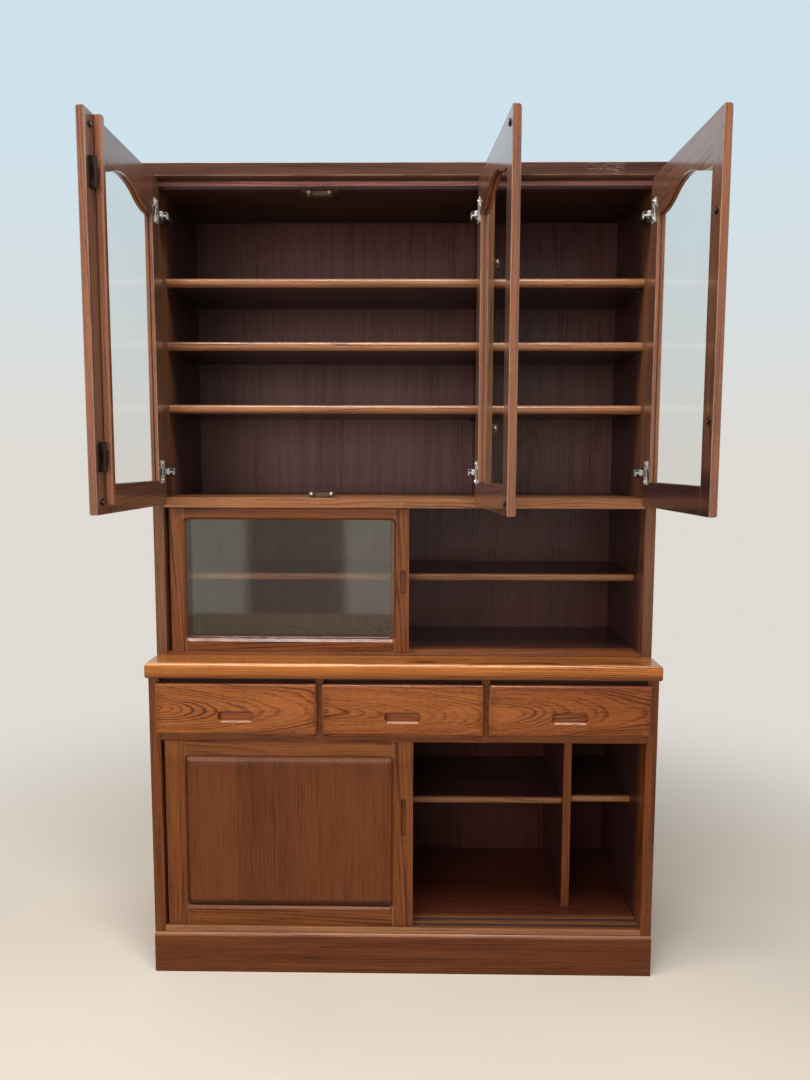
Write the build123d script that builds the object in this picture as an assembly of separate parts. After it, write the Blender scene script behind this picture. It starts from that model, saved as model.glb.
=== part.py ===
from build123d import *
import os

# Mizuya kitchen cabinet. Millimetres, X to the right, Y from front to back, Z up.
# Z = 0 is the floor, X = 0 the middle and Y = 0 the front edge of the lower case's sides.

# Overall
case_width = 1193.0
case_depth = 431.0
total_height = 1900.0
counter_height = 764.0
display_height = 380.0
upper_setback = 68.0

# Boards
side_thick = 26.0
back_thick = 9.0
back_inset = 4.0
back_groove = 6.0
edge_round = 2.0
shelf_gap = 0.5
pin_radius = 3.0
pin_length = 18.0
pin_rest_gap = 0.1
pin_from_edge = 40.0
nosing_share = 0.42
cut_past = 1.0
rod_sides = 16

# Plinth and counter
plinth_height = 100.0
plinth_thick = 20.0
plinth_proud = 4.0
plinth_round = 11.0
counter_thick = 36.0
counter_front_overhang = 19.0
counter_side_overhang = 3.5
counter_top_round = 8.0
counter_bottom_round = 5.0
counter_corner_round = 6.0

# Lower case
sill_depth = 70.0
sill_thick = 13.0
floor_thick = 10.0
drawer_bay_height = 140.0
deck_thick = 14.0
right_bay_width = 150.5
divider_thick = 20.0
divider_setback = 110.0
lower_shelf_thick = 17.0
lower_shelf_setback = 128.0
left_shelf_lift = 276.5
right_shelf_lift = 282.0

# Drawers
drawer_front_thick = 16.0
drawer_front_gap = 0.5
drawer_front_foot = 6.0
drawer_front_head = 12.0
drawer_side_margin = 19.0
drawer_spacing = 12.0
drawer_round = 7.0
drawer_divider_thick = 20.0
drawer_run_gap = 0.3
drawer_side_play = 1.0
drawer_back_gap = 48.5
drawer_head_gap = 5.7
drawer_board = 12.0
drawer_bottom_thick = 5.0
drawer_bottom_lift = 6.0
slot_width = 84.0
slot_height = 24.0
slot_lift = 44.0
slot_round = 9.0
counter_rail_height = 24.0
counter_rail_depth = 20.0
counter_rail_setback = 16.0

# Upper case
crown_thick = 29.0
crown_proud = 2.0
mid_board_thick = 24.0
middle_shelf_lift = 189.0
middle_shelf_thick = 18.0
middle_shelf_setback = 82.0
partition_thick = 22.0
upper_shelf_places = [0.716, 0.5117, 0.3054]
upper_shelf_thick = 21.0
upper_shelf_setback = 62.0
stop_rail_setback = 13.8
stop_rail_height = 18.5
stop_rail_depth = 20.0
track_depth = 74.0
track_thick = 4.0
ridge_width = 4.0
ridge_height = 3.0

# Sliding doors
slider_play = 0.5
tongue_play = 0.5
slider_lift = 0.3
wood_slider_overlap = 40.0
wood_slider_thick = 22.0
wood_slider_setback = 8.0
wood_slider_pitch = 25.0
wood_slider_rest = 5.0
wood_stile = 49.0
wood_top_rail = 39.0
wood_bottom_rail = 46.0
wood_tongue_width = 11.0
wood_bottom_tongue = 5.0
wood_top_tongue = 6.0
wood_top_gap = 3.0
panel_tongue_thick = 6.0
panel_margin = 1.5
panel_corner = 6.5
panel_curve = [(0.0, 0.0), (0.8, 1.5), (10.0, 4.6), (21.0, 6.8)]
panel_groove = 8.0
wood_pull_width = 13.0
wood_pull_height = 94.0
wood_pull_depth = 9.0
wood_pull_inset = 22.5
wood_pull_lift = 224.5
wood_corner = 8.0
wood_bead = 4.5
glass_slider_overlap = 8.0
glass_slider_thick = 20.0
glass_slider_setback = 8.0
glass_slider_pitch = 23.0
glass_slider_rest = 9.5
glass_stile = 36.0
glass_top_rail = 26.5
glass_bottom_rail = 33.0
glass_tongue_width = 7.0
glass_top_tongue = 5.0
glass_top_gap = 2.5
glass_pull_width = 15.0
glass_pull_height = 60.0
glass_pull_depth = 6.0
glass_pull_inset = 14.6
glass_pull_lift = 143.7
glass_corner = 9.0
glass_bead = 6.0
pane_thick = 3.0
pane_groove = 5.5
pane_play = 0.2

# Hinged doors
door_row_margin = 9.5
door_thick = 18.0
door_gap = 3.0
door_spacing = 2.0
door_foot_lap = 16.0
door_top_clear = 3.5
door_round = 7.0
door_inner_chamfer = 0.8
door_stile = 46.0
door_bottom_rail = 57.5
door_top_rail = 57.5
arch_rise = 34.0
hinge_pivot_in = 10.0
hinge_pivot_out = 20.5
left_door_open = 91.6
centre_door_open = 94.8
right_door_open = 92.4

# Concealed hinges
hinge_from_end = 77.0
cup_edge_wall = 5.1
cup_glass_gap = 0.6
cup_wall = 1.4
cup_depth = 11.5
cup_fit = 0.1
cup_flange_rim = 1.1
cup_flange_height = 51.0
cup_flange_width = 15.0
cup_flange_thick = 1.2
cup_wing_chamfer = 4.5
arm_past_cup = 6.1
arm_thick = 7.0
arm_height = 16.0
arm_reach_out = 13.0
arm_reach_in = 60.0
arm_base_length = 34.0
arm_base_height = 26.0
arm_nose_chamfer = 0.5

# Catches and strikes
strike_radius = 7.0
strike_thick = 3.0
strike_chamfer = 0.75
strike_from_edge = 22.5
strike_from_end = 24.0
catch_gap = 0.5
catch_head_radius = 6.0
catch_head_chamfer = 1.8
catch_plate_width = 80.0
catch_plate_thick = 3.0
catch_bar_width = 58.0
catch_bar_past = 5.0
catch_depth = 20.0
catch_setback = 18.0
side_strike_from_edge = 17.0
side_strike_from_end = 180.0
side_catch_height = 20.0
side_catch_thick = 14.0

# Meeting strip that folds out behind the left and centre doors
strip_width = 15.5
strip_thick = 15.0
strip_stile_lap = 7.5
strip_round = 3.0
strip_foot_clear = 19.0
strip_head_clear = 1.5
strip_lift = 0.3
strip_pivot_from_edge = 22.0
strip_leaf_height = 57.0
strip_leaf_from_end = 110.0
strip_leaf_thick = 2.0
strip_leaf_width = 12.0
strip_leaf_chamfer = 3.6
strip_knuckle_radius = 4.0
strip_pin_radius = 1.6
strip_pin_fit = 0.05
strip_arm_height = 24.0
strip_arm_thick = 2.5
strip_tab = 6.0
strip_slot_fit = 0.1

# Sizes that follow from the ones above
half_width = case_width / 2
inner_half = half_width - side_thick
back_face = case_depth - back_inset - back_thick
counter_bottom = counter_height - counter_thick
crown_bottom = total_height - crown_thick
mid_board_top = counter_height + display_height
mid_board_bottom = mid_board_top - mid_board_thick
sill_top = plinth_height + sill_thick
floor_top = plinth_height + floor_thick
deck_top = counter_bottom - drawer_bay_height
deck_bottom = deck_top - deck_thick
left_shelf_top = floor_top + left_shelf_lift
right_shelf_top = floor_top + right_shelf_lift
middle_shelf_top = counter_height + middle_shelf_lift
upper_shelf_tops = [mid_board_top + share * (crown_bottom - mid_board_top) for share in upper_shelf_places]
track_top = counter_height + track_thick
door_bottom = mid_board_top - door_foot_lap
door_height = crown_bottom - door_top_clear - door_bottom
door_row_half = half_width - door_row_margin
cup_radius = (door_stile - pane_groove - cup_glass_gap - cup_edge_wall) / 2
cup_from_edge = cup_edge_wall + cup_radius
cup_flange_radius = cup_radius + cup_flange_rim
arm_from_edge = cup_from_edge + arm_past_cup
strip_from_edge = door_stile - strip_stile_lap
door_width = (2 * door_row_half - 2 * door_spacing) / 3
partition_centre = door_row_half - door_width - door_spacing / 2
door_inside = upper_setback - door_gap
partition_left = partition_centre - partition_thick / 2
partition_right = partition_centre + partition_thick / 2
divider_right = inner_half - right_bay_width
divider_left = divider_right - divider_thick
drawer_row_half = half_width - drawer_side_margin
drawer_front_width = (2 * drawer_row_half - 2 * drawer_spacing) / 3
drawer_divider_x = drawer_front_width / 2 + drawer_spacing / 2
drawer_front_bottom = deck_top + drawer_front_foot
drawer_front_height = drawer_bay_height - drawer_front_foot - drawer_front_head
drawer_box_depth = back_face - drawer_back_gap + drawer_front_gap
drawer_box_height = drawer_bay_height - counter_rail_height - drawer_head_gap - drawer_run_gap
wood_slider_width = inner_half - slider_play + wood_slider_overlap / 2
glass_slider_width = inner_half - slider_play + glass_slider_overlap / 2
slider_stop = -inner_half + slider_play
side_strike_lifts = [door_height - side_strike_from_end, side_strike_from_end]
strip_leaf_lifts = [strip_leaf_from_end, door_height - strip_leaf_from_end]
stop_rail_front = upper_setback + stop_rail_setback
catch_front = upper_setback + catch_setback


def board(x0, x1, y0, y1, z0, z1):
    """Rectangular board between two corners."""
    return Pos((x0 + x1) / 2, (y0 + y1) / 2, (z0 + z1) / 2) * Box(x1 - x0, y1 - y0, z1 - z0)


def front_edges(part, axis):
    """Edges along an axis on the face nearest the front."""
    return part.edges().filter_by(axis).group_by(Axis.Y)[0]


def rod_y(x, z, radius, y0, y1):
    """Rod that runs from y0 to y1, with enough flats to pass for round."""
    across = Plane.XZ * RegularPolygon(radius, rod_sides, major_radius=False)
    return Pos(x, y1, z) * extrude(across, y1 - y0)


def peg_x(y, z, radius, x0, x1):
    """Eight-sided peg that runs from x0 to x1 with a flat on top."""
    across = Plane.YZ * RegularPolygon(radius, 8, major_radius=False, rotation=22.5)
    return Pos(x0, y, z) * extrude(across, x1 - x0)


# ---- Lower case ----

def plinth():
    front = board(-half_width, half_width, -plinth_proud, plinth_thick - plinth_proud, 0, plinth_height)
    front = fillet(front_edges(front, Axis.X).sort_by(Axis.Z)[-1], plinth_round)
    inside_front = plinth_thick - plinth_proud
    inside_back = case_depth - plinth_thick
    boards = [front, board(-half_width, half_width, inside_back, case_depth, 0, plinth_height)]
    for x in (-half_width, half_width - plinth_thick):
        boards.append(board(x, x + plinth_thick, inside_front, inside_back, 0, plinth_height))
    for x in (-half_width / 3, half_width / 3):
        boards.append(board(x - plinth_thick / 2, x + plinth_thick / 2, inside_front, inside_back,
                            0, plinth_height))
    return boards


def pin_places():
    """Wall face, direction into the room and shelf underside of every shelf pin."""
    places = []
    for top in upper_shelf_tops:
        for wall, side in ((-inner_half, 1), (partition_left, -1), (partition_right, 1), (inner_half, -1)):
            places.append((wall, side, top - upper_shelf_thick, upper_setback + upper_shelf_setback))
    for wall, side in ((-inner_half, 1), (inner_half, -1)):
        places.append((wall, side, middle_shelf_top - middle_shelf_thick,
                       upper_setback + middle_shelf_setback))
    for wall, side in ((-inner_half, 1), (divider_left, -1)):
        places.append((wall, side, left_shelf_top - lower_shelf_thick, lower_shelf_setback))
    for wall, side in ((divider_right, 1), (inner_half, -1)):
        places.append((wall, side, right_shelf_top - lower_shelf_thick, lower_shelf_setback))
    return places


def shelf_pins():
    pins = []
    for wall, side, underside, front in pin_places():
        z = underside - pin_rest_gap - pin_radius
        for y in (front + pin_from_edge, back_face - pin_from_edge):
            x = sorted((wall - side * pin_length / 2, wall + side * pin_length / 2))
            pins.append(peg_x(y, z, pin_radius, x[0], x[1]))
    return pins


def drilled(wall):
    """Wall with its shelf pin holes; the pins fill them."""
    for pin in shelf_pins():
        if (pin.bounding_box().min.X < wall.bounding_box().max.X
                and pin.bounding_box().max.X > wall.bounding_box().min.X
                and pin.bounding_box().min.Z > wall.bounding_box().min.Z
                and pin.bounding_box().max.Z < wall.bounding_box().max.Z):
            wall = wall - pin
    return wall


def side_panel(side, front, z0, z1):
    """Case side with the groove for the back panel; side is -1 on the left, 1 on the right."""
    x = sorted((side * inner_half, side * half_width))
    panel = board(x[0], x[1], front, case_depth, z0, z1)
    panel = fillet(front_edges(panel, Axis.Z), edge_round)
    groove = sorted((side * (inner_half - cut_past), side * (inner_half + back_groove)))
    panel = panel - board(groove[0], groove[1], back_face, back_face + back_thick, z0, z1)
    return drilled(panel)


def back_panel(z0, z1):
    reach = inner_half + back_groove
    return board(-reach, reach, back_face, back_face + back_thick, z0, z1)


def groove_centres(setback, thick, pitch):
    """Middle of the front and the rear sliding door's thickness."""
    return (setback + thick / 2, setback + thick / 2 + pitch)


wood_track = groove_centres(wood_slider_setback, wood_slider_thick, wood_slider_pitch)
glass_track = groove_centres(upper_setback + glass_slider_setback, glass_slider_thick, glass_slider_pitch)


def lower_floor():
    sill = board(-inner_half, inner_half, 0, sill_depth, plinth_height, sill_top)
    width = wood_tongue_width + 2 * tongue_play
    depth = wood_bottom_tongue + slider_lift
    for y in wood_track:
        sill = sill - board(-inner_half, inner_half, y - width / 2, y + width / 2,
                            sill_top + slider_play - depth, sill_top + cut_past)
    panel = board(-inner_half, inner_half, sill_depth, back_face, plinth_height, floor_top)
    return [sill, panel]


def lower_divider():
    wall = board(divider_left, divider_right, divider_setback, back_face, floor_top, deck_bottom)
    return drilled(fillet(front_edges(wall, Axis.Z), edge_round))


def nosed_shelf(x0, x1, front, top, thick):
    """Loose shelf with a rounded front edge."""
    shelf = board(x0, x1, front, back_face - shelf_gap, top - thick, top)
    return fillet(front_edges(shelf, Axis.X), thick * nosing_share)


def lower_shelves():
    left = nosed_shelf(-inner_half + shelf_gap, divider_left - shelf_gap, lower_shelf_setback,
                       left_shelf_top, lower_shelf_thick)
    right = nosed_shelf(divider_right + shelf_gap, inner_half - shelf_gap, lower_shelf_setback,
                        right_shelf_top, lower_shelf_thick)
    return [left, right]


def drawer_deck():
    deck = board(-inner_half, inner_half, 0, back_face, deck_bottom, deck_top)
    width = wood_tongue_width + 2 * tongue_play
    for y in wood_track:
        deck = deck - board(-inner_half, inner_half, y - width / 2, y + width / 2,
                            deck_bottom - cut_past, deck_bottom + wood_top_tongue)
    return deck


def drawer_dividers():
    half = drawer_divider_thick / 2
    walls = []
    for x in (-drawer_divider_x, drawer_divider_x):
        walls.append(board(x - half, x + half, 0, back_face, deck_top, counter_bottom))
    return walls


def drawer_bays():
    """Left and right limit of the three drawer compartments."""
    half = drawer_divider_thick / 2
    return [(-inner_half, -drawer_divider_x - half), (-drawer_divider_x + half, drawer_divider_x - half),
            (drawer_divider_x + half, inner_half)]


def counter_rails():
    return [board(x0, x1, counter_rail_setback, counter_rail_setback + counter_rail_depth,
                  counter_bottom - counter_rail_height, counter_bottom) for x0, x1 in drawer_bays()]


def counter_top():
    reach = half_width + counter_side_overhang
    top = board(-reach, reach, -counter_front_overhang, case_depth, counter_bottom, counter_height)
    top = fillet(front_edges(top, Axis.Z), counter_corner_round)
    rim = top.faces().sort_by(Axis.Z)[-1].edges().filter_by(lambda edge: edge.center().Y < case_depth - cut_past)
    top = fillet(rim, counter_top_round)
    foot = top.faces().sort_by(Axis.Z)[0].edges().filter_by(lambda edge: edge.center().Y < 0)
    return fillet(foot, counter_bottom_round)


# ---- Drawers ----

def drawer_front(index):
    x = (index - 1) * (drawer_front_width + drawer_spacing)
    half = drawer_front_width / 2
    back = -drawer_front_gap
    top = drawer_front_bottom + drawer_front_height
    front = board(x - half, x + half, back - drawer_front_thick, back, drawer_front_bottom, top)
    edges = front.edges().group_by(Axis.Y)[0]
    front = fillet(edges, drawer_round)
    slot = extrude(Plane.XZ * RectangleRounded(slot_width, slot_height, slot_round),
                   3 * drawer_front_thick, both=True)
    return front - Pos(x, 0, drawer_front_bottom + slot_lift) * slot


def drawer_box(index):
    """Four walls and a bottom let into them."""
    x0, x1 = drawer_bays()[index]
    x0 = x0 + drawer_side_play
    x1 = x1 - drawer_side_play
    y0 = -drawer_front_gap
    y1 = y0 + drawer_box_depth
    z0 = deck_top + drawer_run_gap
    z1 = z0 + drawer_box_height
    low = z0 + drawer_bottom_lift
    left = board(x0, x0 + drawer_board, y0, y1, z0, z1)
    right = board(x1 - drawer_board, x1, y0, y1, z0, z1)
    front = board(x0 + drawer_board, x1 - drawer_board, y0, y0 + drawer_board, z0, z1)
    back = board(x0 + drawer_board, x1 - drawer_board, y1 - drawer_board, y1, z0, z1)
    bottom = board(x0 + drawer_board, x1 - drawer_board, y0 + drawer_board, y1 - drawer_board,
                   low, low + drawer_bottom_thick)
    return [left, right, front, back, bottom]


# ---- Sliding doors ----

def pull_cut(x, z, width, height, depth, front):
    """Upright finger pull with round ends, sunk in from the front face."""
    shape = Rot(0, 0, 90) * SlotOverall(height, width)
    pull = extrude(Plane.XZ * shape, depth + cut_past)
    return Pos(x, front + depth, z + height / 2) * pull


def framed(left, right, front, back, low, high, opening, corner, bead):
    """Slab with its outer front corners eased and a rounded opening with a splayed front edge."""
    slab = board(left, right, front, back, low, high)
    slab = fillet(front_edges(slab, Axis.Z), edge_round)
    x0, x1, z0, z1 = opening
    outline = Plane.XZ * RectangleRounded(x1 - x0, z1 - z0, corner)
    middle = Pos((x0 + x1) / 2, back, (z0 + z1) / 2)
    slab = slab - middle * extrude(outline, 2 * (back - front), both=True)
    face = slab.faces().group_by(Axis.Y)[0].sort_by(SortBy.AREA)[-1]
    return chamfer(face.inner_wires()[0].edges(), bead)


def split_frame(slab, x0, x1, middle_z):
    """Left stile, right stile, bottom rail and top rail of a frame made as one slab."""
    box = slab.bounding_box()
    low, high = box.min, box.max
    left = slab & board(low.X, x0, low.Y, high.Y, low.Z, high.Z)
    right = slab & board(x1, high.X, low.Y, high.Y, low.Z, high.Z)
    bottom = slab & board(x0, x1, low.Y, high.Y, low.Z, middle_z)
    top = slab & board(x0, x1, low.Y, high.Y, middle_z, high.Z)
    return left, right, bottom, top


def wood_opening(left):
    return (left + wood_stile, left + wood_slider_width - wood_stile,
            sill_top + slider_play + wood_bottom_rail, deck_bottom - wood_top_gap - wood_top_rail)


def wood_slider_frame(left, centre_y, pull_x):
    """Frame of a panelled sliding door: two stiles and two rails with tongues."""
    front = centre_y - wood_slider_thick / 2
    low = sill_top + slider_play
    high = deck_bottom - wood_top_gap
    half = wood_tongue_width / 2
    opening = wood_opening(left)
    x0, x1, z0, z1 = opening
    slab = framed(left, left + wood_slider_width, front, centre_y + wood_slider_thick / 2, low, high,
                  opening, wood_corner, wood_bead)
    slab = slab - wood_panel_blank(left, centre_y, panel_groove, panel_tongue_thick + 2 * pane_play)
    slab = slab - pull_cut(pull_x, low + wood_pull_lift, wood_pull_width, wood_pull_height,
                           wood_pull_depth, front)
    left_stile, right_stile, bottom, top = split_frame(slab, x0, x1, (z0 + z1) / 2)
    bottom = bottom + board(x0, x1, centre_y - half, centre_y + half, low - wood_bottom_tongue, low)
    top = top + board(x0, x1, centre_y - half, centre_y + half, high, high + wood_top_tongue)
    return [left_stile, right_stile, bottom, top]


def wood_panel_blank(left, centre_y, reach, thick):
    """Board that fills the frame's opening and reaches into its grooves."""
    x0, x1, z0, z1 = wood_opening(left)
    return board(x0 - reach, x1 + reach, centre_y - thick / 2, centre_y + thick / 2, z0 - reach, z1 + reach)


def wood_panel(left, centre_y):
    """Raised panel: a thin tongue all round and a field that curves down to it on the front."""
    tongue = wood_panel_blank(left, centre_y, panel_groove - pane_play, panel_tongue_thick)
    x0, x1, z0, z1 = wood_opening(left)
    sections = []
    for inset, rise in panel_curve:
        width = x1 - x0 - 2 * (panel_margin + inset)
        height = z1 - z0 - 2 * (panel_margin + inset)
        sections.append(Plane.XZ.offset(panel_tongue_thick / 2 + rise)
                        * RectangleRounded(width, height, panel_corner))
    return tongue + Pos((x0 + x1) / 2, centre_y, (z0 + z1) / 2) * loft(sections, ruled=True)


def glass_opening(left):
    return (left + glass_stile, left + glass_slider_width - glass_stile,
            track_top + slider_lift + glass_bottom_rail, mid_board_bottom - glass_top_gap - glass_top_rail)


def glass_slider_frame(left, centre_y, pull_x):
    """Frame of a glazed sliding door, which rides on a ridge and is held by a top tongue."""
    front = centre_y - glass_slider_thick / 2
    right = left + glass_slider_width
    low = track_top + slider_lift
    high = mid_board_bottom - glass_top_gap
    half = glass_tongue_width / 2
    opening = glass_opening(left)
    x0, x1, z0, z1 = opening
    slab = framed(left, right, front, centre_y + glass_slider_thick / 2, low, high,
                  opening, glass_corner, glass_bead)
    slab = slab - board(left, right, centre_y - ridge_width / 2 - tongue_play,
                        centre_y + ridge_width / 2 + tongue_play, low - cut_past, low + ridge_height)
    slab = slab - glass_pane(left, centre_y, pane_groove, pane_thick + 2 * pane_play)
    slab = slab - pull_cut(pull_x, low + glass_pull_lift, glass_pull_width, glass_pull_height,
                           glass_pull_depth, front)
    left_stile, right_stile, bottom, top = split_frame(slab, x0, x1, (z0 + z1) / 2)
    top = top + board(x0, x1, centre_y - half, centre_y + half, high, high + glass_top_tongue)
    return [left_stile, right_stile, bottom, top]


def glass_pane(left, centre_y, reach, thick):
    """Pane that reaches into the grooves round the opening."""
    x0, x1, z0, z1 = glass_opening(left)
    return board(x0 - reach, x1 + reach, centre_y - thick / 2, centre_y + thick / 2, z0 - reach, z1 + reach)


# ---- Upper case ----

def upper_track():
    track = board(-inner_half, inner_half, upper_setback, upper_setback + track_depth,
                  counter_height, track_top)
    for y in glass_track:
        track = track + board(-inner_half, inner_half, y - ridge_width / 2, y + ridge_width / 2,
                              track_top, track_top + ridge_height - slider_play)
    return track


def mid_board():
    slab = board(-inner_half, inner_half, upper_setback, back_face, mid_board_bottom, mid_board_top)
    width = glass_tongue_width + 2 * tongue_play
    for y in glass_track:
        slab = slab - board(-inner_half, inner_half, y - width / 2, y + width / 2,
                            mid_board_bottom - cut_past, mid_board_bottom + glass_top_tongue)
    return slab


def upper_partition():
    wall = board(partition_left, partition_right, upper_setback, back_face, mid_board_top, crown_bottom)
    return drilled(fillet(front_edges(wall, Axis.Z), edge_round))


def upper_bays():
    return [(-inner_half, partition_left), (partition_right, inner_half)]


def upper_shelves():
    shelves = []
    for top in upper_shelf_tops:
        for x0, x1 in upper_bays():
            shelves.append(nosed_shelf(x0 + shelf_gap, x1 - shelf_gap, upper_setback + upper_shelf_setback,
                                       top, upper_shelf_thick))
    return shelves


def middle_shelf():
    return nosed_shelf(-inner_half + shelf_gap, inner_half - shelf_gap,
                       upper_setback + middle_shelf_setback, middle_shelf_top, middle_shelf_thick)


def top_board():
    front = door_inside - door_thick - crown_proud
    slab = board(-half_width, half_width, front, case_depth, crown_bottom, total_height)
    return fillet(slab.edges().group_by(Axis.Y)[0], edge_round)


def stop_rails():
    return [board(x0, x1, stop_rail_front, stop_rail_front + stop_rail_depth,
                  crown_bottom - stop_rail_height, crown_bottom) for x0, x1 in upper_bays()]


# ---- Hinged doors: built closed, hinge edge at x = 0, inside face at y = 0, bottom at z = 0 ----

def arch_outline(reach):
    """Opening of a door, grown by reach: straight sides and foot, and an ogee hump at the top."""
    x0 = door_stile - reach
    x1 = door_width - door_stile + reach
    middle = door_width / 2
    z0 = door_bottom_rail - reach
    crest = door_height - door_top_rail + reach
    spring = crest - arch_rise
    turn_x = (middle - door_stile) / 2
    turn_z = spring + arch_rise / 2
    left = (door_stile, spring)
    right = (door_width - door_stile, spring)
    corners = [left, (x0, spring), (x0, z0), (x1, z0), (x1, spring), right]
    if reach == 0:
        corners = corners[1:-1]
    with BuildSketch(Plane.XZ) as sketch:
        with BuildLine():
            Polyline(corners)
            TangentArc(right, (middle + turn_x, turn_z), tangent=(-1, 0))
            TangentArc((middle, crest), (middle + turn_x, turn_z), tangent=(1, 0))
            TangentArc((middle, crest), (middle - turn_x, turn_z), tangent=(-1, 0))
            TangentArc(left, (middle - turn_x, turn_z), tangent=(1, 0))
        make_face()
    return sketch.sketch


def pane_solid(reach, thick):
    face = arch_outline(reach)
    return Pos(0, -door_thick / 2 + thick / 2, 0) * extrude(face, thick)


def door_blank():
    """Whole door as one board with its outer perimeter rounded."""
    slab = board(0, door_width, -door_thick, 0, 0, door_height)
    slab = fillet(slab.edges().group_by(Axis.Y)[0], door_round)
    return chamfer(slab.edges().group_by(Axis.Y)[-1], door_inner_chamfer)


def cup_heights():
    return (hinge_from_end, door_height - hinge_from_end)


def door_frame():
    """Stiles, top rail and bottom rail cut from the blank, grooved for the glass."""
    opening = extrude(arch_outline(0), 3 * door_thick, both=True)
    slab = door_blank() - opening - pane_solid(pane_groove, pane_thick + 2 * pane_play)
    for z in cup_heights():
        slab = slab - rod_y(cup_from_edge, z, cup_radius + cup_fit, -cup_depth - cup_fit - cup_wall, cut_past)
    cut = door_width - door_stile
    y0 = -door_thick - cut_past
    z1 = door_height + cut_past
    left = slab & board(-cut_past, door_stile, y0, cut_past, -cut_past, z1)
    right = slab & board(cut, door_width + cut_past, y0, cut_past, -cut_past, z1)
    low = slab & board(door_stile, cut, y0, cut_past, -cut_past, door_height / 2)
    high = slab & board(door_stile, cut, y0, cut_past, door_height / 2, z1)
    return left, right, low, high


def door_pane():
    return pane_solid(pane_groove - pane_play * 2, pane_thick)


def hinge_cups():
    cups = []
    for z in cup_heights():
        shell = rod_y(cup_from_edge, z, cup_radius, -cup_depth - cup_wall, 0)
        plate = rod_y(cup_from_edge, z, cup_flange_radius, 0, cup_flange_thick)
        half = cup_flange_height / 2
        wings = board(cup_from_edge - cup_flange_width / 2, cup_from_edge + cup_flange_width / 2,
                      0, cup_flange_thick, z - half, z + half)
        wings = chamfer(wings.edges().filter_by(Axis.Y), cup_wing_chamfer)
        hollow = rod_y(cup_from_edge, z, cup_radius - cup_wall, -cup_depth, cup_flange_thick + cut_past)
        cups.append(shell + plate + wings - hollow)
    return cups


def strike_disc(x, z):
    disc = rod_y(x, z, strike_radius, 0, strike_thick)
    return chamfer(disc.edges().group_by(Axis.Y)[-1], strike_chamfer)


def door_strikes(name):
    if name == "right":
        return [strike_disc(door_width - side_strike_from_edge, z) for z in side_strike_lifts]
    return [strike_disc(door_width - strike_from_edge, z)
            for z in (strike_from_end, door_height - strike_from_end)]


door_places = {
    "left": (-door_row_half, 1, -left_door_open),
    "centre": (partition_centre - door_spacing / 2, -1, centre_door_open),
    "right": (door_row_half, -1, right_door_open),
}


def hang(part, name):
    """Move a closed door's piece to its place in the case and swing it open about its hinge."""
    edge, side, angle = door_places[name]
    if side < 0:
        part = mirror(part, about=Plane.YZ)
    pivot = (edge + side * hinge_pivot_in, upper_setback - hinge_pivot_out)
    part = Pos(edge - pivot[0], door_inside - pivot[1], door_bottom) * part
    return Pos(pivot[0], pivot[1], 0) * Rot(0, 0, angle) * part


def hinge_arm(name, z):
    """Arm and base on the case; the arm's nose enters the cup when the door is shut."""
    edge, side, _ = door_places[name]
    wall = {"left": -inner_half, "centre": partition_left, "right": inner_half}[name]
    near = edge + side * arm_from_edge
    x = sorted((near, near + side * arm_thick))
    arm = board(x[0], x[1], upper_setback - arm_reach_out, upper_setback + arm_reach_in,
                z - arm_height / 2, z + arm_height / 2)
    arm = chamfer(arm.edges().filter_by(Axis.Z).group_by(Axis.Y)[0], arm_nose_chamfer)
    x = sorted((wall, near))
    base = board(x[0], x[1], upper_setback + arm_reach_in - arm_base_length, upper_setback + arm_reach_in,
                 z - arm_base_height / 2, z + arm_base_height / 2)
    return arm + base


def hinge_arms():
    return [hinge_arm(name, door_bottom + z) for name in door_places for z in cup_heights()]


# ---- Catches ----

def catch_head(x, z):
    tip = door_inside + strike_thick + catch_gap
    head = rod_y(x, z, catch_head_radius, tip, catch_front)
    return chamfer(head.edges().group_by(Axis.Y)[0], catch_head_chamfer)


def double_catch(meeting, z, seat):
    """Plate screwed to the seat, bar across it and a sprung head at each end of the bar."""
    reach = catch_bar_past if z > seat else -catch_bar_past
    plate_edge = seat + (catch_plate_thick if z > seat else -catch_plate_thick)
    plate_z = sorted((seat, plate_edge))
    bar_z = sorted((seat, z + reach))
    plate = board(meeting - catch_plate_width / 2, meeting + catch_plate_width / 2,
                  catch_front, catch_front + catch_depth, plate_z[0], plate_z[1])
    bar = board(meeting - catch_bar_width / 2, meeting + catch_bar_width / 2,
                catch_front, catch_front + catch_depth, bar_z[0], bar_z[1])
    offset = strike_from_edge + door_spacing / 2
    return plate + bar + catch_head(meeting - offset, z) + catch_head(meeting + offset, z)


def catches():
    """Double catches where the left and centre doors meet, single ones on the partition."""
    meeting = partition_centre - door_width - door_spacing
    top = door_bottom + door_height - strike_from_end
    low = door_bottom + strike_from_end
    pieces = [double_catch(meeting, top, crown_bottom - stop_rail_height),
              double_catch(meeting, low, mid_board_top)]
    x = partition_centre + door_spacing / 2 + side_strike_from_edge
    for lift in side_strike_lifts:
        z = door_bottom + lift
        body = board(partition_right, partition_right + side_catch_thick, catch_front,
                     catch_front + catch_depth, z - side_catch_height / 2, z + side_catch_height / 2)
        pieces.append(body + catch_head(x, z))
    return pieces


# ---- Meeting strip, in the left door's own closed frame ----

strip_axis_x = door_width - strip_pivot_from_edge
strip_axis_y = strip_lift + strip_thick / 2


def strip_rod(radius, z0, z1):
    return Pos(strip_axis_x, strip_axis_y, (z0 + z1) / 2) * Cylinder(radius, z1 - z0)


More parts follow.
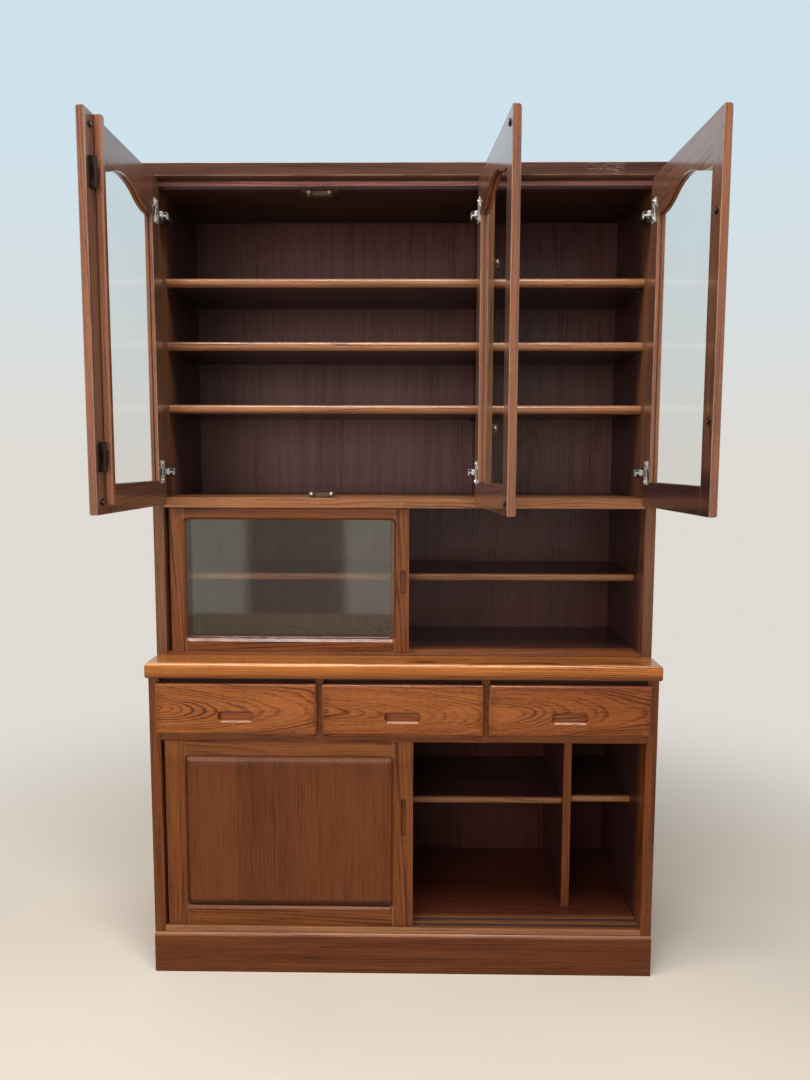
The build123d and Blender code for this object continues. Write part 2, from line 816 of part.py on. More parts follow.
def flap_plates():
    """Leaves screwed to the stile, each with two knuckles and the hinge pin."""
    plates = []
    for z in strip_leaf_lifts:
        half = strip_leaf_height / 2
        inner = strip_arm_height / 2 + strip_lift
        leaf = board(strip_axis_x, strip_axis_x + strip_leaf_width, 0, strip_leaf_thick, z - half, z + half)
        leaf = chamfer(leaf.edges().filter_by(Axis.Y).group_by(Axis.X)[-1], strip_leaf_chamfer)
        for z0, z1 in ((z - half, z - inner), (z + inner, z + half)):
            web = board(strip_axis_x - strip_knuckle_radius, strip_axis_x + strip_knuckle_radius,
                        0, strip_axis_y, z0, z1)
            leaf = leaf + web + strip_rod(strip_knuckle_radius, z0, z1)
        plates.append(leaf + strip_rod(strip_pin_radius, z - half, z + half))
    return plates


def flap_arms():
    """Arms that turn on the pins and pass through the strip."""
    arms = []
    far = door_width - strip_from_edge - strip_width - strip_tab
    for z in strip_leaf_lifts:
        half = strip_arm_height / 2
        knuckle = strip_rod(strip_knuckle_radius, z - half, z + half)
        blade = board(far, strip_axis_x, strip_axis_y - strip_arm_thick / 2,
                      strip_axis_y + strip_arm_thick / 2, z - half, z + half)
        bore = strip_rod(strip_pin_radius + strip_pin_fit, z - half - cut_past, z + half + cut_past)
        arms.append(knuckle + blade - bore)
    return arms


def flap_strip():
    right = door_width - strip_from_edge
    rod = board(right - strip_width, right, strip_lift, strip_lift + strip_thick,
                strip_foot_clear, door_height - strip_head_clear)
    rod = fillet(rod.edges().filter_by(Axis.Z), strip_round)
    half = strip_arm_thick / 2 + strip_slot_fit
    for z in strip_leaf_lifts:
        tall = strip_arm_height / 2 + strip_slot_fit
        rod = rod - board(right - strip_width - cut_past, right + cut_past,
                          strip_axis_y - half, strip_axis_y + half, z - tall, z + tall)
    return rod


# ---- All nodes ----

def nodes():
    parts = {
        "plinth": plinth(),
        "lower_side_left": side_panel(-1, 0, plinth_height, counter_bottom),
        "lower_side_right": side_panel(1, 0, plinth_height, counter_bottom),
        "lower_floor": lower_floor(),
        "lower_back": back_panel(plinth_height, counter_bottom),
        "lower_divider": lower_divider(),
        "lower_shelves": lower_shelves(),
        "drawer_deck": drawer_deck(),
        "drawer_dividers": drawer_dividers(),
        "counter_rails": counter_rails(),
        "counter_top": counter_top(),
        "upper_side_left": side_panel(-1, upper_setback, counter_height, crown_bottom),
        "upper_side_right": side_panel(1, upper_setback, counter_height, crown_bottom),
        "upper_back": back_panel(counter_height, crown_bottom),
        "upper_track": upper_track(),
        "mid_board": mid_board(),
        "middle_shelf": middle_shelf(),
        "upper_partition": upper_partition(),
        "upper_shelves": upper_shelves(),
        "top_board": top_board(),
        "stop_rails": stop_rails(),
        "shelf_pins": shelf_pins(),
        "catches": catches(),
        "hinge_arms": hinge_arms(),
    }
    hinge_stile, free_stile, bottom_rail, top_rail = door_frame()
    for name in door_places:
        parts[name + "_door_stiles"] = [hang(hinge_stile, name), hang(free_stile, name)]
        parts[name + "_door_bottom_rail"] = hang(bottom_rail, name)
        parts[name + "_door_top_rail"] = hang(top_rail, name)
        parts[name + "_door_glass"] = hang(door_pane(), name)
        parts[name + "_door_hinge_cups"] = [hang(cup, name) for cup in hinge_cups()]
        parts[name + "_door_strikes"] = [hang(disc, name) for disc in door_strikes(name)]
    parts["flap_plates"] = [hang(plate, "left") for plate in flap_plates()]
    parts["flap_arms"] = [hang(arm, "left") for arm in flap_arms()]
    parts["flap_strip"] = hang(flap_strip(), "left")
    for index, name in enumerate(("front", "rear")):
        rest = slider_stop + (wood_slider_rest, 0)[index]
        pull = rest + (wood_slider_width - wood_pull_inset, wood_pull_inset)[index]
        parts["panel_slider_" + name + "_frame"] = wood_slider_frame(rest, wood_track[index], pull)
        parts["panel_slider_" + name + "_panel"] = wood_panel(rest, wood_track[index])
        rest = slider_stop + (glass_slider_rest, 0)[index]
        pull = rest + (glass_slider_width - glass_pull_inset, glass_pull_inset)[index]
        parts["glass_slider_" + name + "_frame"] = glass_slider_frame(rest, glass_track[index], pull)
        pane = glass_pane(rest, glass_track[index], pane_groove - pane_play * 2, pane_thick)
        parts["glass_slider_" + name + "_glass"] = pane
    for index, name in enumerate(("left", "centre", "right")):
        parts["drawer_" + name + "_front"] = drawer_front(index)
        parts["drawer_" + name + "_box"] = drawer_box(index)
    return parts


def save(name, part):
    pieces = part if isinstance(part, list) else [part]
    solids = [solid for piece in pieces for solid in piece.solids()]
    shape = solids[0] if len(solids) == 1 else Compound(children=solids)
    export_step(shape, "parts/" + name + ".step")


os.makedirs("parts", exist_ok=True)
for node_name, node_part in nodes().items():
    save(node_name, node_part)
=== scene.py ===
import bmesh
import bpy
import math
import random
from mathutils import Matrix, Vector


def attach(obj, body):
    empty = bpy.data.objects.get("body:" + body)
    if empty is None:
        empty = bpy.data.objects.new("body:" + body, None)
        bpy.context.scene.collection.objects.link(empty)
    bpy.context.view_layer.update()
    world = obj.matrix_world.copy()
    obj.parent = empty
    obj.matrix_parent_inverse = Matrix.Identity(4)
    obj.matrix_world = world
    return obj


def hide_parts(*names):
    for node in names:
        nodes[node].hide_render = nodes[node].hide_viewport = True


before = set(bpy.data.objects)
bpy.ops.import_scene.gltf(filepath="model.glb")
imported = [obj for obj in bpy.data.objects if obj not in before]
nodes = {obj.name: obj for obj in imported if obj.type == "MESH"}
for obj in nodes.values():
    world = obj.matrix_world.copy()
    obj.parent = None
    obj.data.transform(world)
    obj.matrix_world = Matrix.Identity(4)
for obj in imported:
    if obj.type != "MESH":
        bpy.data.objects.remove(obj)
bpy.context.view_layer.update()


class Wire:
    # one socket of a node tree; the operators add Math nodes

    def __init__(self, finish, socket):
        self.finish = finish
        self.socket = socket

    def math(self, operation, other=None, flip=False):
        node = self.finish.tree.nodes.new("ShaderNodeMath")
        node.operation = operation
        first, second = (other, self) if flip else (self, other)
        self.finish.plug(node.inputs[0], first)
        if second is not None:
            self.finish.plug(node.inputs[1], second)
        return Wire(self.finish, node.outputs[0])

    def __add__(self, other):
        return self.math("ADD", other)

    def __radd__(self, other):
        return self.math("ADD", other)

    def __sub__(self, other):
        return self.math("SUBTRACT", other)

    def __rsub__(self, other):
        return self.math("SUBTRACT", other, True)

    def __mul__(self, other):
        return self.math("MULTIPLY", other)

    def __rmul__(self, other):
        return self.math("MULTIPLY", other)

    def __truediv__(self, other):
        return self.math("DIVIDE", other)

    def __rtruediv__(self, other):
        return self.math("DIVIDE", other, True)

    def __pow__(self, other):
        return self.math("POWER", other)

    def __abs__(self):
        return self.math("ABSOLUTE")


class Finish:
    # a material, or another holder of shader nodes, and the few calls that build it

    def __init__(self, name, holder=None, output="ShaderNodeOutputMaterial"):
        self.material = holder or bpy.data.materials.new(name)
        self.material.use_nodes = True
        self.output = output
        self.tree = self.material.node_tree
        self.tree.nodes.clear()

    def plug(self, socket, value):
        if isinstance(value, Wire):
            self.tree.links.new(value.socket, socket)
        else:
            socket.default_value = value

    def node(self, kind, settings=None, sockets=None, out=0):
        made = self.tree.nodes.new(kind)
        for key, value in (settings or {}).items():
            if key == "stops":
                self.setStops(made.color_ramp, value)
            else:
                setattr(made, key, value)
        for key, value in (sockets or {}).items():
            self.plug(made.inputs[key], value)
        return Wire(self, made.outputs[out])

    def setStops(self, ramp, stops):
        while len(ramp.elements) < len(stops):
            ramp.elements.new(0.5)
        for element, (place, colour) in zip(ramp.elements, stops):
            element.position = place
            element.color = (*colour, 1) if isinstance(colour, tuple) else (colour, colour, colour, 1)

    def split(self, vector):
        made = self.tree.nodes.new("ShaderNodeSeparateXYZ")
        self.plug(made.inputs[0], vector)
        return [Wire(self, output) for output in made.outputs]

    def join(self, x, y, z):
        return self.node("ShaderNodeCombineXYZ", {}, {0: x, 1: y, 2: z})

    def noise(self, vector, scale=1.0, detail=2.0, rough=0.5):
        return self.node("ShaderNodeTexNoise", {}, {"Vector": vector, "Scale": scale, "Detail": detail,
                                                    "Roughness": rough})

    def step(self, value, low, high, toLow=0.0, toHigh=1.0):
        # eases from toLow to toHigh as the value goes from low to high
        return self.node("ShaderNodeMapRange", {"interpolation_type": "SMOOTHSTEP"}, {
            "Value": value, "From Min": low, "From Max": high, "To Min": toLow, "To Max": toHigh})

    def ramp(self, value, stops):
        return self.node("ShaderNodeValToRGB", {"stops": stops}, {0: value})

    def mix(self, factor, first, second):
        return self.node("ShaderNodeMix", {"data_type": "RGBA"}, {0: factor, 6: first, 7: second}, out=2)

    def least(self, first, second):
        return first.math("MINIMUM", second)

    def most(self, first, second):
        return first.math("MAXIMUM", second)

    def attribute(self, name):
        return self.node("ShaderNodeAttribute", {"attribute_name": name}, out=1)

    def bump(self, height, strength, distance):
        return self.node("ShaderNodeBump", {}, {"Height": height, "Strength": strength, "Distance": distance})

    def surface(self, sockets):
        shader = self.node("ShaderNodeBsdfPrincipled", {}, sockets)
        self.finishWith(shader)
        return self.material

    def finishWith(self, shader):
        output = self.tree.nodes.new(self.output)
        self.plug(output.inputs[0], shader)


# tone is the board's middle colour; rings, pores, streaks and bands say how strongly each darkens it
# pith is how far the heart of the tree lies from the board: near for flames, far for straight lines
# rim darkens the edges; the pale line along the long edges is a painted highlight, broken in patches like
# worn varnish; staves glues a panel up;
# what is sunk gets painted shade, and painted light where its amount is below zero; a look with a tone alone
# is only ever mixed into another
woodLooks = {
    "case": {"tone": (0.150, 0.039, 0.008), "pith": (0.20, 0.30, 0.02), "pitch": 0.0050, "rings": 0.35,
             "pores": 0.5, "streaks": 1.5, "bands": 0.7, "rim": 0.10, "rough": 0.36, "specular": 0.40,
             "coat": 0.15},
    # painted shade: the dark tone mixed in wherever shade falls, inside the case, in grooves and recesses and
    # under parts
    "inside": {"tone": (0.046, 0.017, 0.015), "pith": (0.30, 0.30, 0.01), "pitch": 0.0042, "rings": 0.3,
               "pores": 0.5, "streaks": 1.3, "bands": 0.7, "rim": 0.0, "rough": 0.38, "specular": 0.40,
               "coat": 0.15},
    "back": {"tone": (0.092, 0.034, 0.028), "pith": (0.30, 0.30, 0.01), "pitch": 0.0042, "rings": 0.3,
             "pores": 0.4, "streaks": 1.0, "bands": 0.6, "rim": 0.0, "rough": 0.40, "specular": 0.40,
             "coat": 0.15},
    "lowBack": {"tone": (0.058, 0.015, 0.010), "pith": (0.30, 0.30, 0.01), "pitch": 0.0042, "rings": 0.3,
                "pores": 0.4, "streaks": 1.0, "bands": 0.6, "rim": 0.0, "rough": 0.40, "specular": 0.25,
                "coat": 0.05},
    # the crown's dark tone is its stain with painted shade
    "crown": {"tone": (0.052, 0.018, 0.009), "pith": (0.20, 0.30, 0.02), "pitch": 0.0050, "rings": 0.4,
              "pores": 0.6, "streaks": 1.6, "bands": 1.2, "rim": 0.0, "rough": 0.38, "specular": 0.20,
              "coat": 0.05, "litWornEdges": 0.8},
    # the stop rail's pale pink tone is its stain with a painted sheen of grazing reflection
    "rail": {"tone": (0.320, 0.140, 0.115), "pith": (0.20, 0.30, 0.02), "pitch": 0.0050, "rings": 0.4,
             "pores": 0.6, "streaks": 1.6, "bands": 0.9, "rim": 0.0, "rough": 0.36, "specular": 0.40,
             "coat": 0.15},
    "door": {"tone": (0.200, 0.058, 0.018), "pith": (0.10, 0.22, 0.03), "pitch": 0.0050, "rings": 0.4,
             "pores": 0.6, "streaks": 1.3, "bands": 0.7, "rim": 0.08, "rough": 0.30, "specular": 0.50,
             "coat": 1.0, "litWornEdges": 0.4},
    "doorInside": {"tone": (0.138, 0.055, 0.030)},
    "slider": {"tone": (0.152, 0.040, 0.008), "pith": (0.06, 0.12, 0.03), "pitch": 0.0052, "rings": 0.45,
               "pores": 0.6, "streaks": 1.7, "bands": 0.9, "rim": 0.10, "rough": 0.34, "specular": 0.40,
               "coat": 0.15, "sunkShading": (0.22, 1.0), "litWornEdges": 0.25},
    "drawer": {"tone": (0.270, 0.075, 0.015), "pith": (0.0, 0.040, 0.13), "pitch": 0.0042, "rings": 0.50,
               "pores": 0.9, "streaks": 1.1, "bands": 0.6, "rim": 0.22, "rough": 0.34, "specular": 0.40,
               "coat": 0.15, "sunkShading": (-0.60, 0.030), "litWornEdges": 0.5},
    # painted light on the box front seen through each slot pull
    "slot": {"tone": (0.270, 0.075, 0.022)},
    "panel": {"tone": (0.108, 0.026, 0.006), "pith": (0.30, 0.30, 0.01), "pitch": 0.0034, "rings": 0.15,
              "pores": 0.35, "streaks": 1.9, "bands": 0.5, "rim": 0.06, "rough": 0.34, "specular": 0.40,
              "coat": 0.15, "staves": (-0.127, 0.135)},
    "plinth": {"tone": (0.112, 0.027, 0.006), "pith": (0.30, 0.30, 0.01), "pitch": 0.0044, "rings": 0.35,
               "pores": 0.5, "streaks": 1.6, "bands": 0.7, "rim": 0.0, "rough": 0.36, "specular": 0.40,
               "coat": 0.15},
    # painted highlight on the plinth's rounded top and the sill's front lip
    "plinthTop": {"tone": (0.235, 0.090, 0.040)},
    "sill": {"tone": (0.120, 0.042, 0.015), "pith": (0.20, 0.30, 0.02), "pitch": 0.0050, "rings": 0.15,
             "pores": 0.5, "streaks": 1.5, "bands": 0.4, "rim": 0.0, "rough": 0.34, "specular": 0.2,
             "coat": 0.15},
    "counter": {"tone": (0.235, 0.074, 0.015), "pith": (0.20, 0.22, 0.01), "pitch": 0.0050, "rings": 0.4,
                "pores": 0.5, "streaks": 1.5, "bands": 0.8, "rim": 0.0, "rough": 0.24, "specular": 0.4,
                "coat": 0.30},
    "counterEdge": {"tone": (0.370, 0.112, 0.018)},
    "shelf": {"tone": (0.235, 0.092, 0.036), "pith": (0.20, 0.25, 0.02), "pitch": 0.0050, "rings": 0.4,
              "pores": 0.5, "streaks": 1.5, "bands": 0.8, "rim": 0.0, "rough": 0.33, "specular": 0.45,
              "coat": 0.3},
    "ledge": {"tone": (0.220, 0.080, 0.027), "pith": (0.20, 0.25, 0.02), "pitch": 0.0050, "rings": 0.4,
              "pores": 0.5, "streaks": 1.5, "bands": 0.8, "rim": 0.0, "rough": 0.33, "specular": 0.4,
              "coat": 0.3},
    "strip": {"tone": (0.205, 0.070, 0.032), "pith": (0.20, 0.25, 0.02), "pitch": 0.0050, "rings": 0.4,
              "pores": 0.5, "streaks": 1.5, "bands": 0.8, "rim": 0.0, "rough": 0.30, "specular": 0.5,
              "coat": 0.8, "litWornEdges": 0.4},
    "sideFront": {"tone": (0.150, 0.054, 0.022)},
    # painted highlight on the rounded lip under each slot pull
    "drawerLip": {"tone": (0.520, 0.270, 0.160)},
    # painted light on the panelled doors' top rails, below the drawers
    "sliderTop": {"tone": (0.215, 0.062, 0.014)},
    # painted light on the lower part of each upper bay's back
    "backLow": {"tone": (0.125, 0.055, 0.046)},
    # painted shade on the back behind the glazed sliders
    "backDark": {"tone": (0.068, 0.024, 0.020)},
    "panelTop": {"tone": (0.190, 0.068, 0.032)},
    "panelFoot": {"tone": (0.048, 0.013, 0.005)},
    # painted shade: the drawers darker towards the right
    "drawerRed": {"tone": (0.222, 0.056, 0.011)},
    # painted shade on the lower cupboard's floor behind the sill
    "lowFloor": {"tone": (0.066, 0.015, 0.007)},
    "crownUnder": {"tone": (0.130, 0.055, 0.030)},
    # painted highlight along the top of the counter's rounded front
    "counterLip": {"tone": (0.480, 0.190, 0.065)},
    # painted shade low on the counter's front
    "counterFoot": {"tone": (0.165, 0.046, 0.010)},
    "bare": {"tone": (0.420, 0.255, 0.125), "pith": (0.05, 0.15, 0.04), "pitch": 0.0060, "rings": 0.25,
             "pores": 0.2, "streaks": 0.8, "bands": 0.4, "rim": 0.0, "rough": 0.62, "specular": 0.3,
             "coat": 0.0},
    "ply": {"tone": (0.230, 0.120, 0.060)},
}


def woodTones(tone):
    # from the lightest wood to the darkest pore
    red, green, blue = tone
    return [(0.0, (red * 1.45, green * 1.55, blue * 1.60)), (0.42, tone),
            (0.75, (red * 0.55, green * 0.48, blue * 0.50)), (1.0, (red * 0.26, green * 0.20, blue * 0.25))]


def woodDepth(mat, look):
    # how dark each point is, from growth rings, streaks and open pores; and the rings and pores alone
    along, across, through = mat.split(mat.attribute("grain"))
    spotAlong, spotAcross, spotThrough = mat.split(mat.attribute("spot"))
    spanAlong, spanAcross, spanThrough = mat.split(mat.attribute("span"))
    shade = 0.0
    if "staves" in look:
        # glued staves, each with its own grain and tint and a fine pale seam
        first, width = look["staves"]
        count = (spotAcross - first) / width
        number = count.math("FLOOR")
        along, across = along + number * 1.37, across + number * 0.21
        seam = mat.least(count.math("FRACT"), 1.0 - count.math("FRACT")) * width
        shade = (number * 2.4 + 0.6).math("SINE") * 0.10 + mat.step(seam, 0.0, 0.0020, -0.30, 0.0)
    side, depth, tilt = look["pith"]
    # growth rings: distance from a pith line that drifts along the board
    drift = mat.noise(mat.join(along * 2.6, across * 7.0, through * 7.0), detail=2.0) - 0.5
    wobble = mat.noise(mat.join(along * 11.0, across * 90.0, through * 90.0), detail=3.0, rough=0.65) - 0.5
    sideways = across - side + drift * 0.050 + wobble * 0.0045
    deep = through + depth + spotAlong * tilt + drift * 0.03
    rings = (sideways * sideways + deep * deep) ** 0.5 / look["pitch"]
    late = mat.ramp(rings.math("FRACT"), [(0.0, 0.05), (0.45, 0.18), (0.80, 1.0), (1.0, 0.05)])
    strength = mat.noise(mat.join(along * 1.5, rings * 0.35, 0.0), detail=1.0)
    late = late * mat.step(strength, 0.35, 0.70, 0.1, 1.6)
    # long streaks, and the short open pores of oak
    streak = mat.noise(mat.join(along * 7.0, across * 480.0, through * 480.0), detail=3.0, rough=0.65)
    pore = mat.noise(mat.join(along * 60.0, across * 1250.0, through * 1250.0), detail=1.0)
    pores = mat.step(pore, 0.54, 0.66)
    band = mat.noise(mat.join(along * 2.3, across * 75.0, through * 75.0), detail=2.0)
    cloud = mat.noise(mat.join(along * 1.3, across * 4.0, through * 4.0), detail=2.0) - 0.5
    dark = late * look["rings"] + (streak - 0.5) * look["streaks"] + (band - 0.5) * look["bands"]
    dark = dark + cloud * 0.5 + 0.16 + shade
    dark = dark + pores * (late * 0.6 + 0.4) * look["pores"]
    if "sunkShading" in look:
        # below the front face, within so far of the board's middle line: painted shade in the sliders' pulls
        # and grooves, painted light in the drawers' slot pulls
        amount, reach = look["sunkShading"]
        below = mat.step(spotThrough + spanThrough, 0.0015, 0.0040)
        dark = dark + below * mat.step(abs(spotAcross), reach, reach + 0.002, 1.0, 0.0) * amount
    if look["rim"]:
        # toner sprayed darker towards the board's edges
        inset = mat.least(spanAlong - abs(spotAlong), spanAcross - abs(spotAcross))
        dark = dark + mat.step(inset, 0.0, 0.03, 1.0, 0.0) * look["rim"]
    return dark, late, pores


# edge: the pale of the painted highlight along long edges; spot: rubbed places
edgeLightAndWearColours = {"edge": (0.52, 0.33, 0.22), "spot": (0.42, 0.27, 0.19)}


def woodFinish(name, look, others=(), wear=()):
    # others: (look, (axis, from, to), ...), a tone that takes over as each axis goes from one to the other
    # X, Y and Z are the object's, wide is off the middle of the case, along is off the board's own middle,
    # front is from its front edge, and inner is below zero towards its inner face
    # wear: (x, y, z, radius), rubbed places
    mat = Finish(name)
    dark, late, pores = woodDepth(mat, look)
    colour = mat.ramp(dark, woodTones(look["tone"]))
    place = mat.node("ShaderNodeTexCoord", out=3)
    x, y, z = mat.split(place)
    spot, span = mat.split(mat.attribute("spot")), mat.split(mat.attribute("span"))
    reach = {"X": x, "Y": y, "Z": z, "wide": abs(x), "along": abs(spot[0]), "front": spot[1] + span[1],
             "inner": spot[2] - span[2]}
    for second, *limits in others:
        share = 1.0
        for axis, low, high in limits:
            share = share * (mat.step(reach[axis], low, high) if low < high else
                             mat.step(reach[axis], high, low, 1.0, 0.0))
        colour = mat.mix(share, colour, mat.ramp(dark, woodTones(woodLooks[second]["tone"])))
    if "litWornEdges" in look:
        # a pale line along the board's long edges: a painted highlight of the rounded edge, broken in patches
        # like worn varnish
        corner = span[1] - abs(spot[1]) + span[2] - abs(spot[2])
        patches = mat.step(mat.noise(mat.attribute("grain"), scale=14.0, detail=3.0), 0.30, 0.62, 0.25, 1.0)
        litWornEdge = mat.step(corner, 0.0008, 0.0022, 1.0, 0.0) * patches * look["litWornEdges"]
        colour = mat.mix(litWornEdge, colour, (*edgeLightAndWearColours["edge"], 1))
    smudge = mat.noise(place, scale=7.0, detail=3.0)
    rough = look["rough"] + (smudge - 0.5) * 0.16 + pores * 0.10
    drawnOut = mat.node("ShaderNodeVectorMath", {"operation": "MULTIPLY"},
                        {0: place, 1: (45.0, 170.0, 420.0)})
    for *centre, radius in wear:
        gap = mat.node("ShaderNodeVectorMath", {"operation": "DISTANCE"}, {0: place, 1: centre}, out=1)
        chips = mat.step(mat.noise(drawnOut, scale=1.0, detail=4.0, rough=0.65), 0.50, 0.66)
        rubbed = chips * mat.step(gap, radius * 0.3, radius, 0.38, 0.0)
        colour = mat.mix(rubbed, colour, (*edgeLightAndWearColours["spot"], 1))
    bump = mat.bump(0.0 - pores * 0.6 - late * 0.25, 0.35, 0.0004)
    return mat.surface({"Base Color": colour, "Roughness": rough, "Normal": bump,
                        "Coat Weight": look["coat"], "Coat Roughness": 0.12,
                        "Specular IOR Level": look["specular"]})


plainWoods = ("case", "inside", "ledge", "strip")
finishes = {name: woodFinish(name + "Wood", woodLooks[name]) for name in plainWoods}
# shaded insides: the case sides darken towards the back, the uprights behind their front edge
insideFace = ("wide", 0.576, 0.572)  # the case sides' inner faces only
finishes["upperSide"] = woodFinish("upperSide", woodLooks["case"], [
    ("sideFront", ("Z", 0.70, 0.71)), ("inside", ("Y", 0.110, 0.220), insideFace),
    ("inside", ("Z", 1.135, 1.115), ("Y", 0.066, 0.140), insideFace)])
finishes["lowerSide"] = woodFinish("lowerSide", woodLooks["case"], [
    ("inside", ("Y", 0.030, 0.080), insideFace)])
finishes["partition"] = woodFinish("partition", woodLooks["ledge"], [("inside", ("front", 0.050, 0.160))])
finishes["divider"] = woodFinish("divider", woodLooks["case"], [("inside", ("front", 0.004, 0.016))])
# the crown's underside is paler along its front, the stop rail shaded along its foot
finishes["crown"] = woodFinish("crown", woodLooks["crown"], [
    ("crownUnder", ("Z", 1.8725, 1.8712), ("Y", 0.062, 0.056))], [
    (0.43, 0.045, 1.888, 0.030), (0.475, 0.045, 1.886, 0.028)])
finishes["rail"] = woodFinish("stopRail", woodLooks["rail"], [("inside", ("Z", 1.8605, 1.8590))])
# the counter gets painted shade behind the upper case's front; its front edge is paler than its top, with a
# painted highlight along its top and painted shade along its foot
finishes["counterTop"] = woodFinish("counterTop", woodLooks["counter"], [
    ("counterEdge", ("front", 0.016, 0.002)), ("counterLip", ("Z", 0.7565, 0.7600), ("front", 0.012, 0.004)),
    ("counterFoot", ("Z", 0.7520, 0.7320)), ("inside", ("Y", 0.066, 0.070))])
# the back panels are plain outside; inside, the upper bays get painted light low down and the bay behind the
# glazed sliders painted shade
finishes["backPanel"] = woodFinish("backPanel", woodLooks["back"], [
    ("backLow", ("Z", 1.55, 1.35)), ("backDark", ("Z", 1.13, 1.11)), ("ply", ("Y", 0.4222, 0.4224))])
finishes["lowBackPanel"] = woodFinish("lowBackPanel", woodLooks["lowBack"], [("ply", ("Y", 0.4222, 0.4224))])
# the shelves' lit front edge is paler than their tops
finishes["shelfEdge"] = woodFinish("shelfEdge", woodLooks["shelf"], [("inside", ("front", 0.003, 0.014))])
# the sill's door grooves get painted shade, its front lip a painted highlight, and the floor behind it
# painted shade
finishes["sill"] = woodFinish("sill", woodLooks["sill"], [
    ("inside", ("Z", 0.1120, 0.1100)), ("plinthTop", ("Y", 0.006, 0.003)), ("lowFloor", ("Y", 0.055, 0.070))])
# painted highlight along the plinth's rounded top
finishes["plinthWood"] = woodFinish("plinthWood", woodLooks["plinth"], [("plinthTop", ("Z", 0.088, 0.098))])
# the drawer boxes are stained in front, given painted light behind the slot pulls and painted shade under the
# slots' top edge, and bare behind
finishes["drawerBox"] = woodFinish("drawerBox", woodLooks["slider"], [
    ("slot", ("Z", 0.618, 0.621)), ("inside", ("Z", 0.638, 0.649)), ("bare", ("Y", 0.006, 0.007))])
# painted shade darkens and reddens the drawers towards the right, with a painted highlight on the lip under
# each slot; the panelled doors' top rails get painted light, paler under the drawers
finishes["drawer"] = woodFinish("drawerWood", woodLooks["drawer"], [
    ("drawerRed", ("X", 0.16, 0.50)),
    ("drawerLip", ("Z", 0.6272, 0.6262), ("Z", 0.6234, 0.6246), ("along", 0.038, 0.033))])
finishes["slider"] = woodFinish("sliderWood", woodLooks["slider"], [
    ("sliderTop", ("Z", 0.510, 0.550), ("Z", 0.600, 0.590))])
# the raised panels catch the light along their top bevel and lose it along the bottom one
finishes["panel"] = woodFinish("panelWood", woodLooks["panel"], [
    ("panelTop", ("Z", 0.518, 0.522)), ("panelFoot", ("Z", 0.1760, 0.1715))])
# the hinged doors' inner faces are duller, darkest low on the right door; free edges are worn in spots
innerFace = ("inner", -0.0016, -0.0008)
doorInside = ("doorInside", innerFace)
finishes["hinged"] = woodFinish("hinged", woodLooks["door"], [doorInside])
finishes["hingedCentre"] = woodFinish("hingedCentre", woodLooks["door"], [doorInside],
                                      [(0.186, -0.33, 1.41, 0.03)])
finishes["hingedRight"] = woodFinish("hingedRight", woodLooks["door"], [
    doorInside, ("inside", innerFace, ("Z", 1.230, 1.190))], [
    (0.597, -0.305, 1.375, 0.035), (0.597, -0.300, 1.325, 0.025)])


plainLooks = {
    "nickel": {"colour": (0.60, 0.585, 0.56), "metallic": 1.0, "rough": 0.30},
    "white nickel": {"colour": (0.74, 0.72, 0.68), "metallic": 0.55, "rough": 0.36},
    "bronze": {"colour": (0.045, 0.028, 0.022), "metallic": 0.8, "rough": 0.42},
    "catch brown": {"colour": (0.085, 0.040, 0.024), "metallic": 0.0, "rough": 0.35},
    "dull steel": {"colour": (0.26, 0.24, 0.22), "metallic": 0.8, "rough": 0.40},
    # painted shade: steel darkened where it sits in shade, the hinge arms' rear channels and the shelf pins
    "shaded steel": {"colour": (0.055, 0.038, 0.030), "metallic": 0.3, "rough": 0.5},
}


def plainFinish(name, look):
    # metal or plastic with a little grime
    mat = Finish(name.replace(" ", ""))
    place = mat.node("ShaderNodeTexCoord", out=3)
    grime = mat.noise(place, scale=90.0, detail=4.0)
    speck = mat.noise(place, scale=900.0, detail=2.0)
    mask = mat.step(grime, 0.45, 0.75)
    dull = tuple(part * 0.72 for part in look["colour"])
    colour = mat.mix(mask, (*look["colour"], 1), (*dull, 1))
    rough = look["rough"] + mask * 0.12 + (speck - 0.5) * 0.08
    bump = mat.bump(speck, 0.08, 0.0002)
    return mat.surface({"Base Color": colour, "Roughness": rough, "Metallic": look["metallic"],
                        "Normal": bump})


for name, look in plainLooks.items():
    finishes[name] = plainFinish(name, look)


def glassFinish():
    # thin float glass: clear, a mirror at a grazing angle, with a faint film of dust
    mat = Finish("clearGlass")
    place = mat.node("ShaderNodeTexCoord", out=3)
    film = mat.step(mat.noise(place, scale=5.0, detail=5.0), 0.35, 0.8)
    facing = mat.node("ShaderNodeLayerWeight", {}, {"Blend": 0.5}, out=1)
    gloss = mat.node("ShaderNodeBsdfPrincipled", {}, {"Base Color": (0.90, 0.86, 0.80, 1),
                                                      "Roughness": 0.03, "Metallic": 1.0})
    clear = mat.node("ShaderNodeBsdfTransparent", {}, {"Color": (0.985, 0.995, 0.99, 1)})
    mirror = facing ** 5.0 * 0.12 + 0.05 + film * 0.012
    mat.finishWith(mat.node("ShaderNodeMixShader", {}, {0: mirror, 1: clear, 2: gloss}))
    return mat.material


finishes["glass"] = glassFinish()
print("finishes made:", len(finishes))


# each hinged door: hinge edge in mm, direction towards its free edge, degrees it stands open, finish
hingedDoors = {
    "left": {"edge": -587.0, "towards": 1, "open": -91.6, "finish": "hinged"},
    "centre": {"edge": 195.0, "towards": -1, "open": 94.8, "finish": "hingedCentre"},
    "right": {"edge": 587.0, "towards": -1, "open": 92.4, "finish": "hingedRight"},
}

grainLayers = ("grain", "spot", "span")


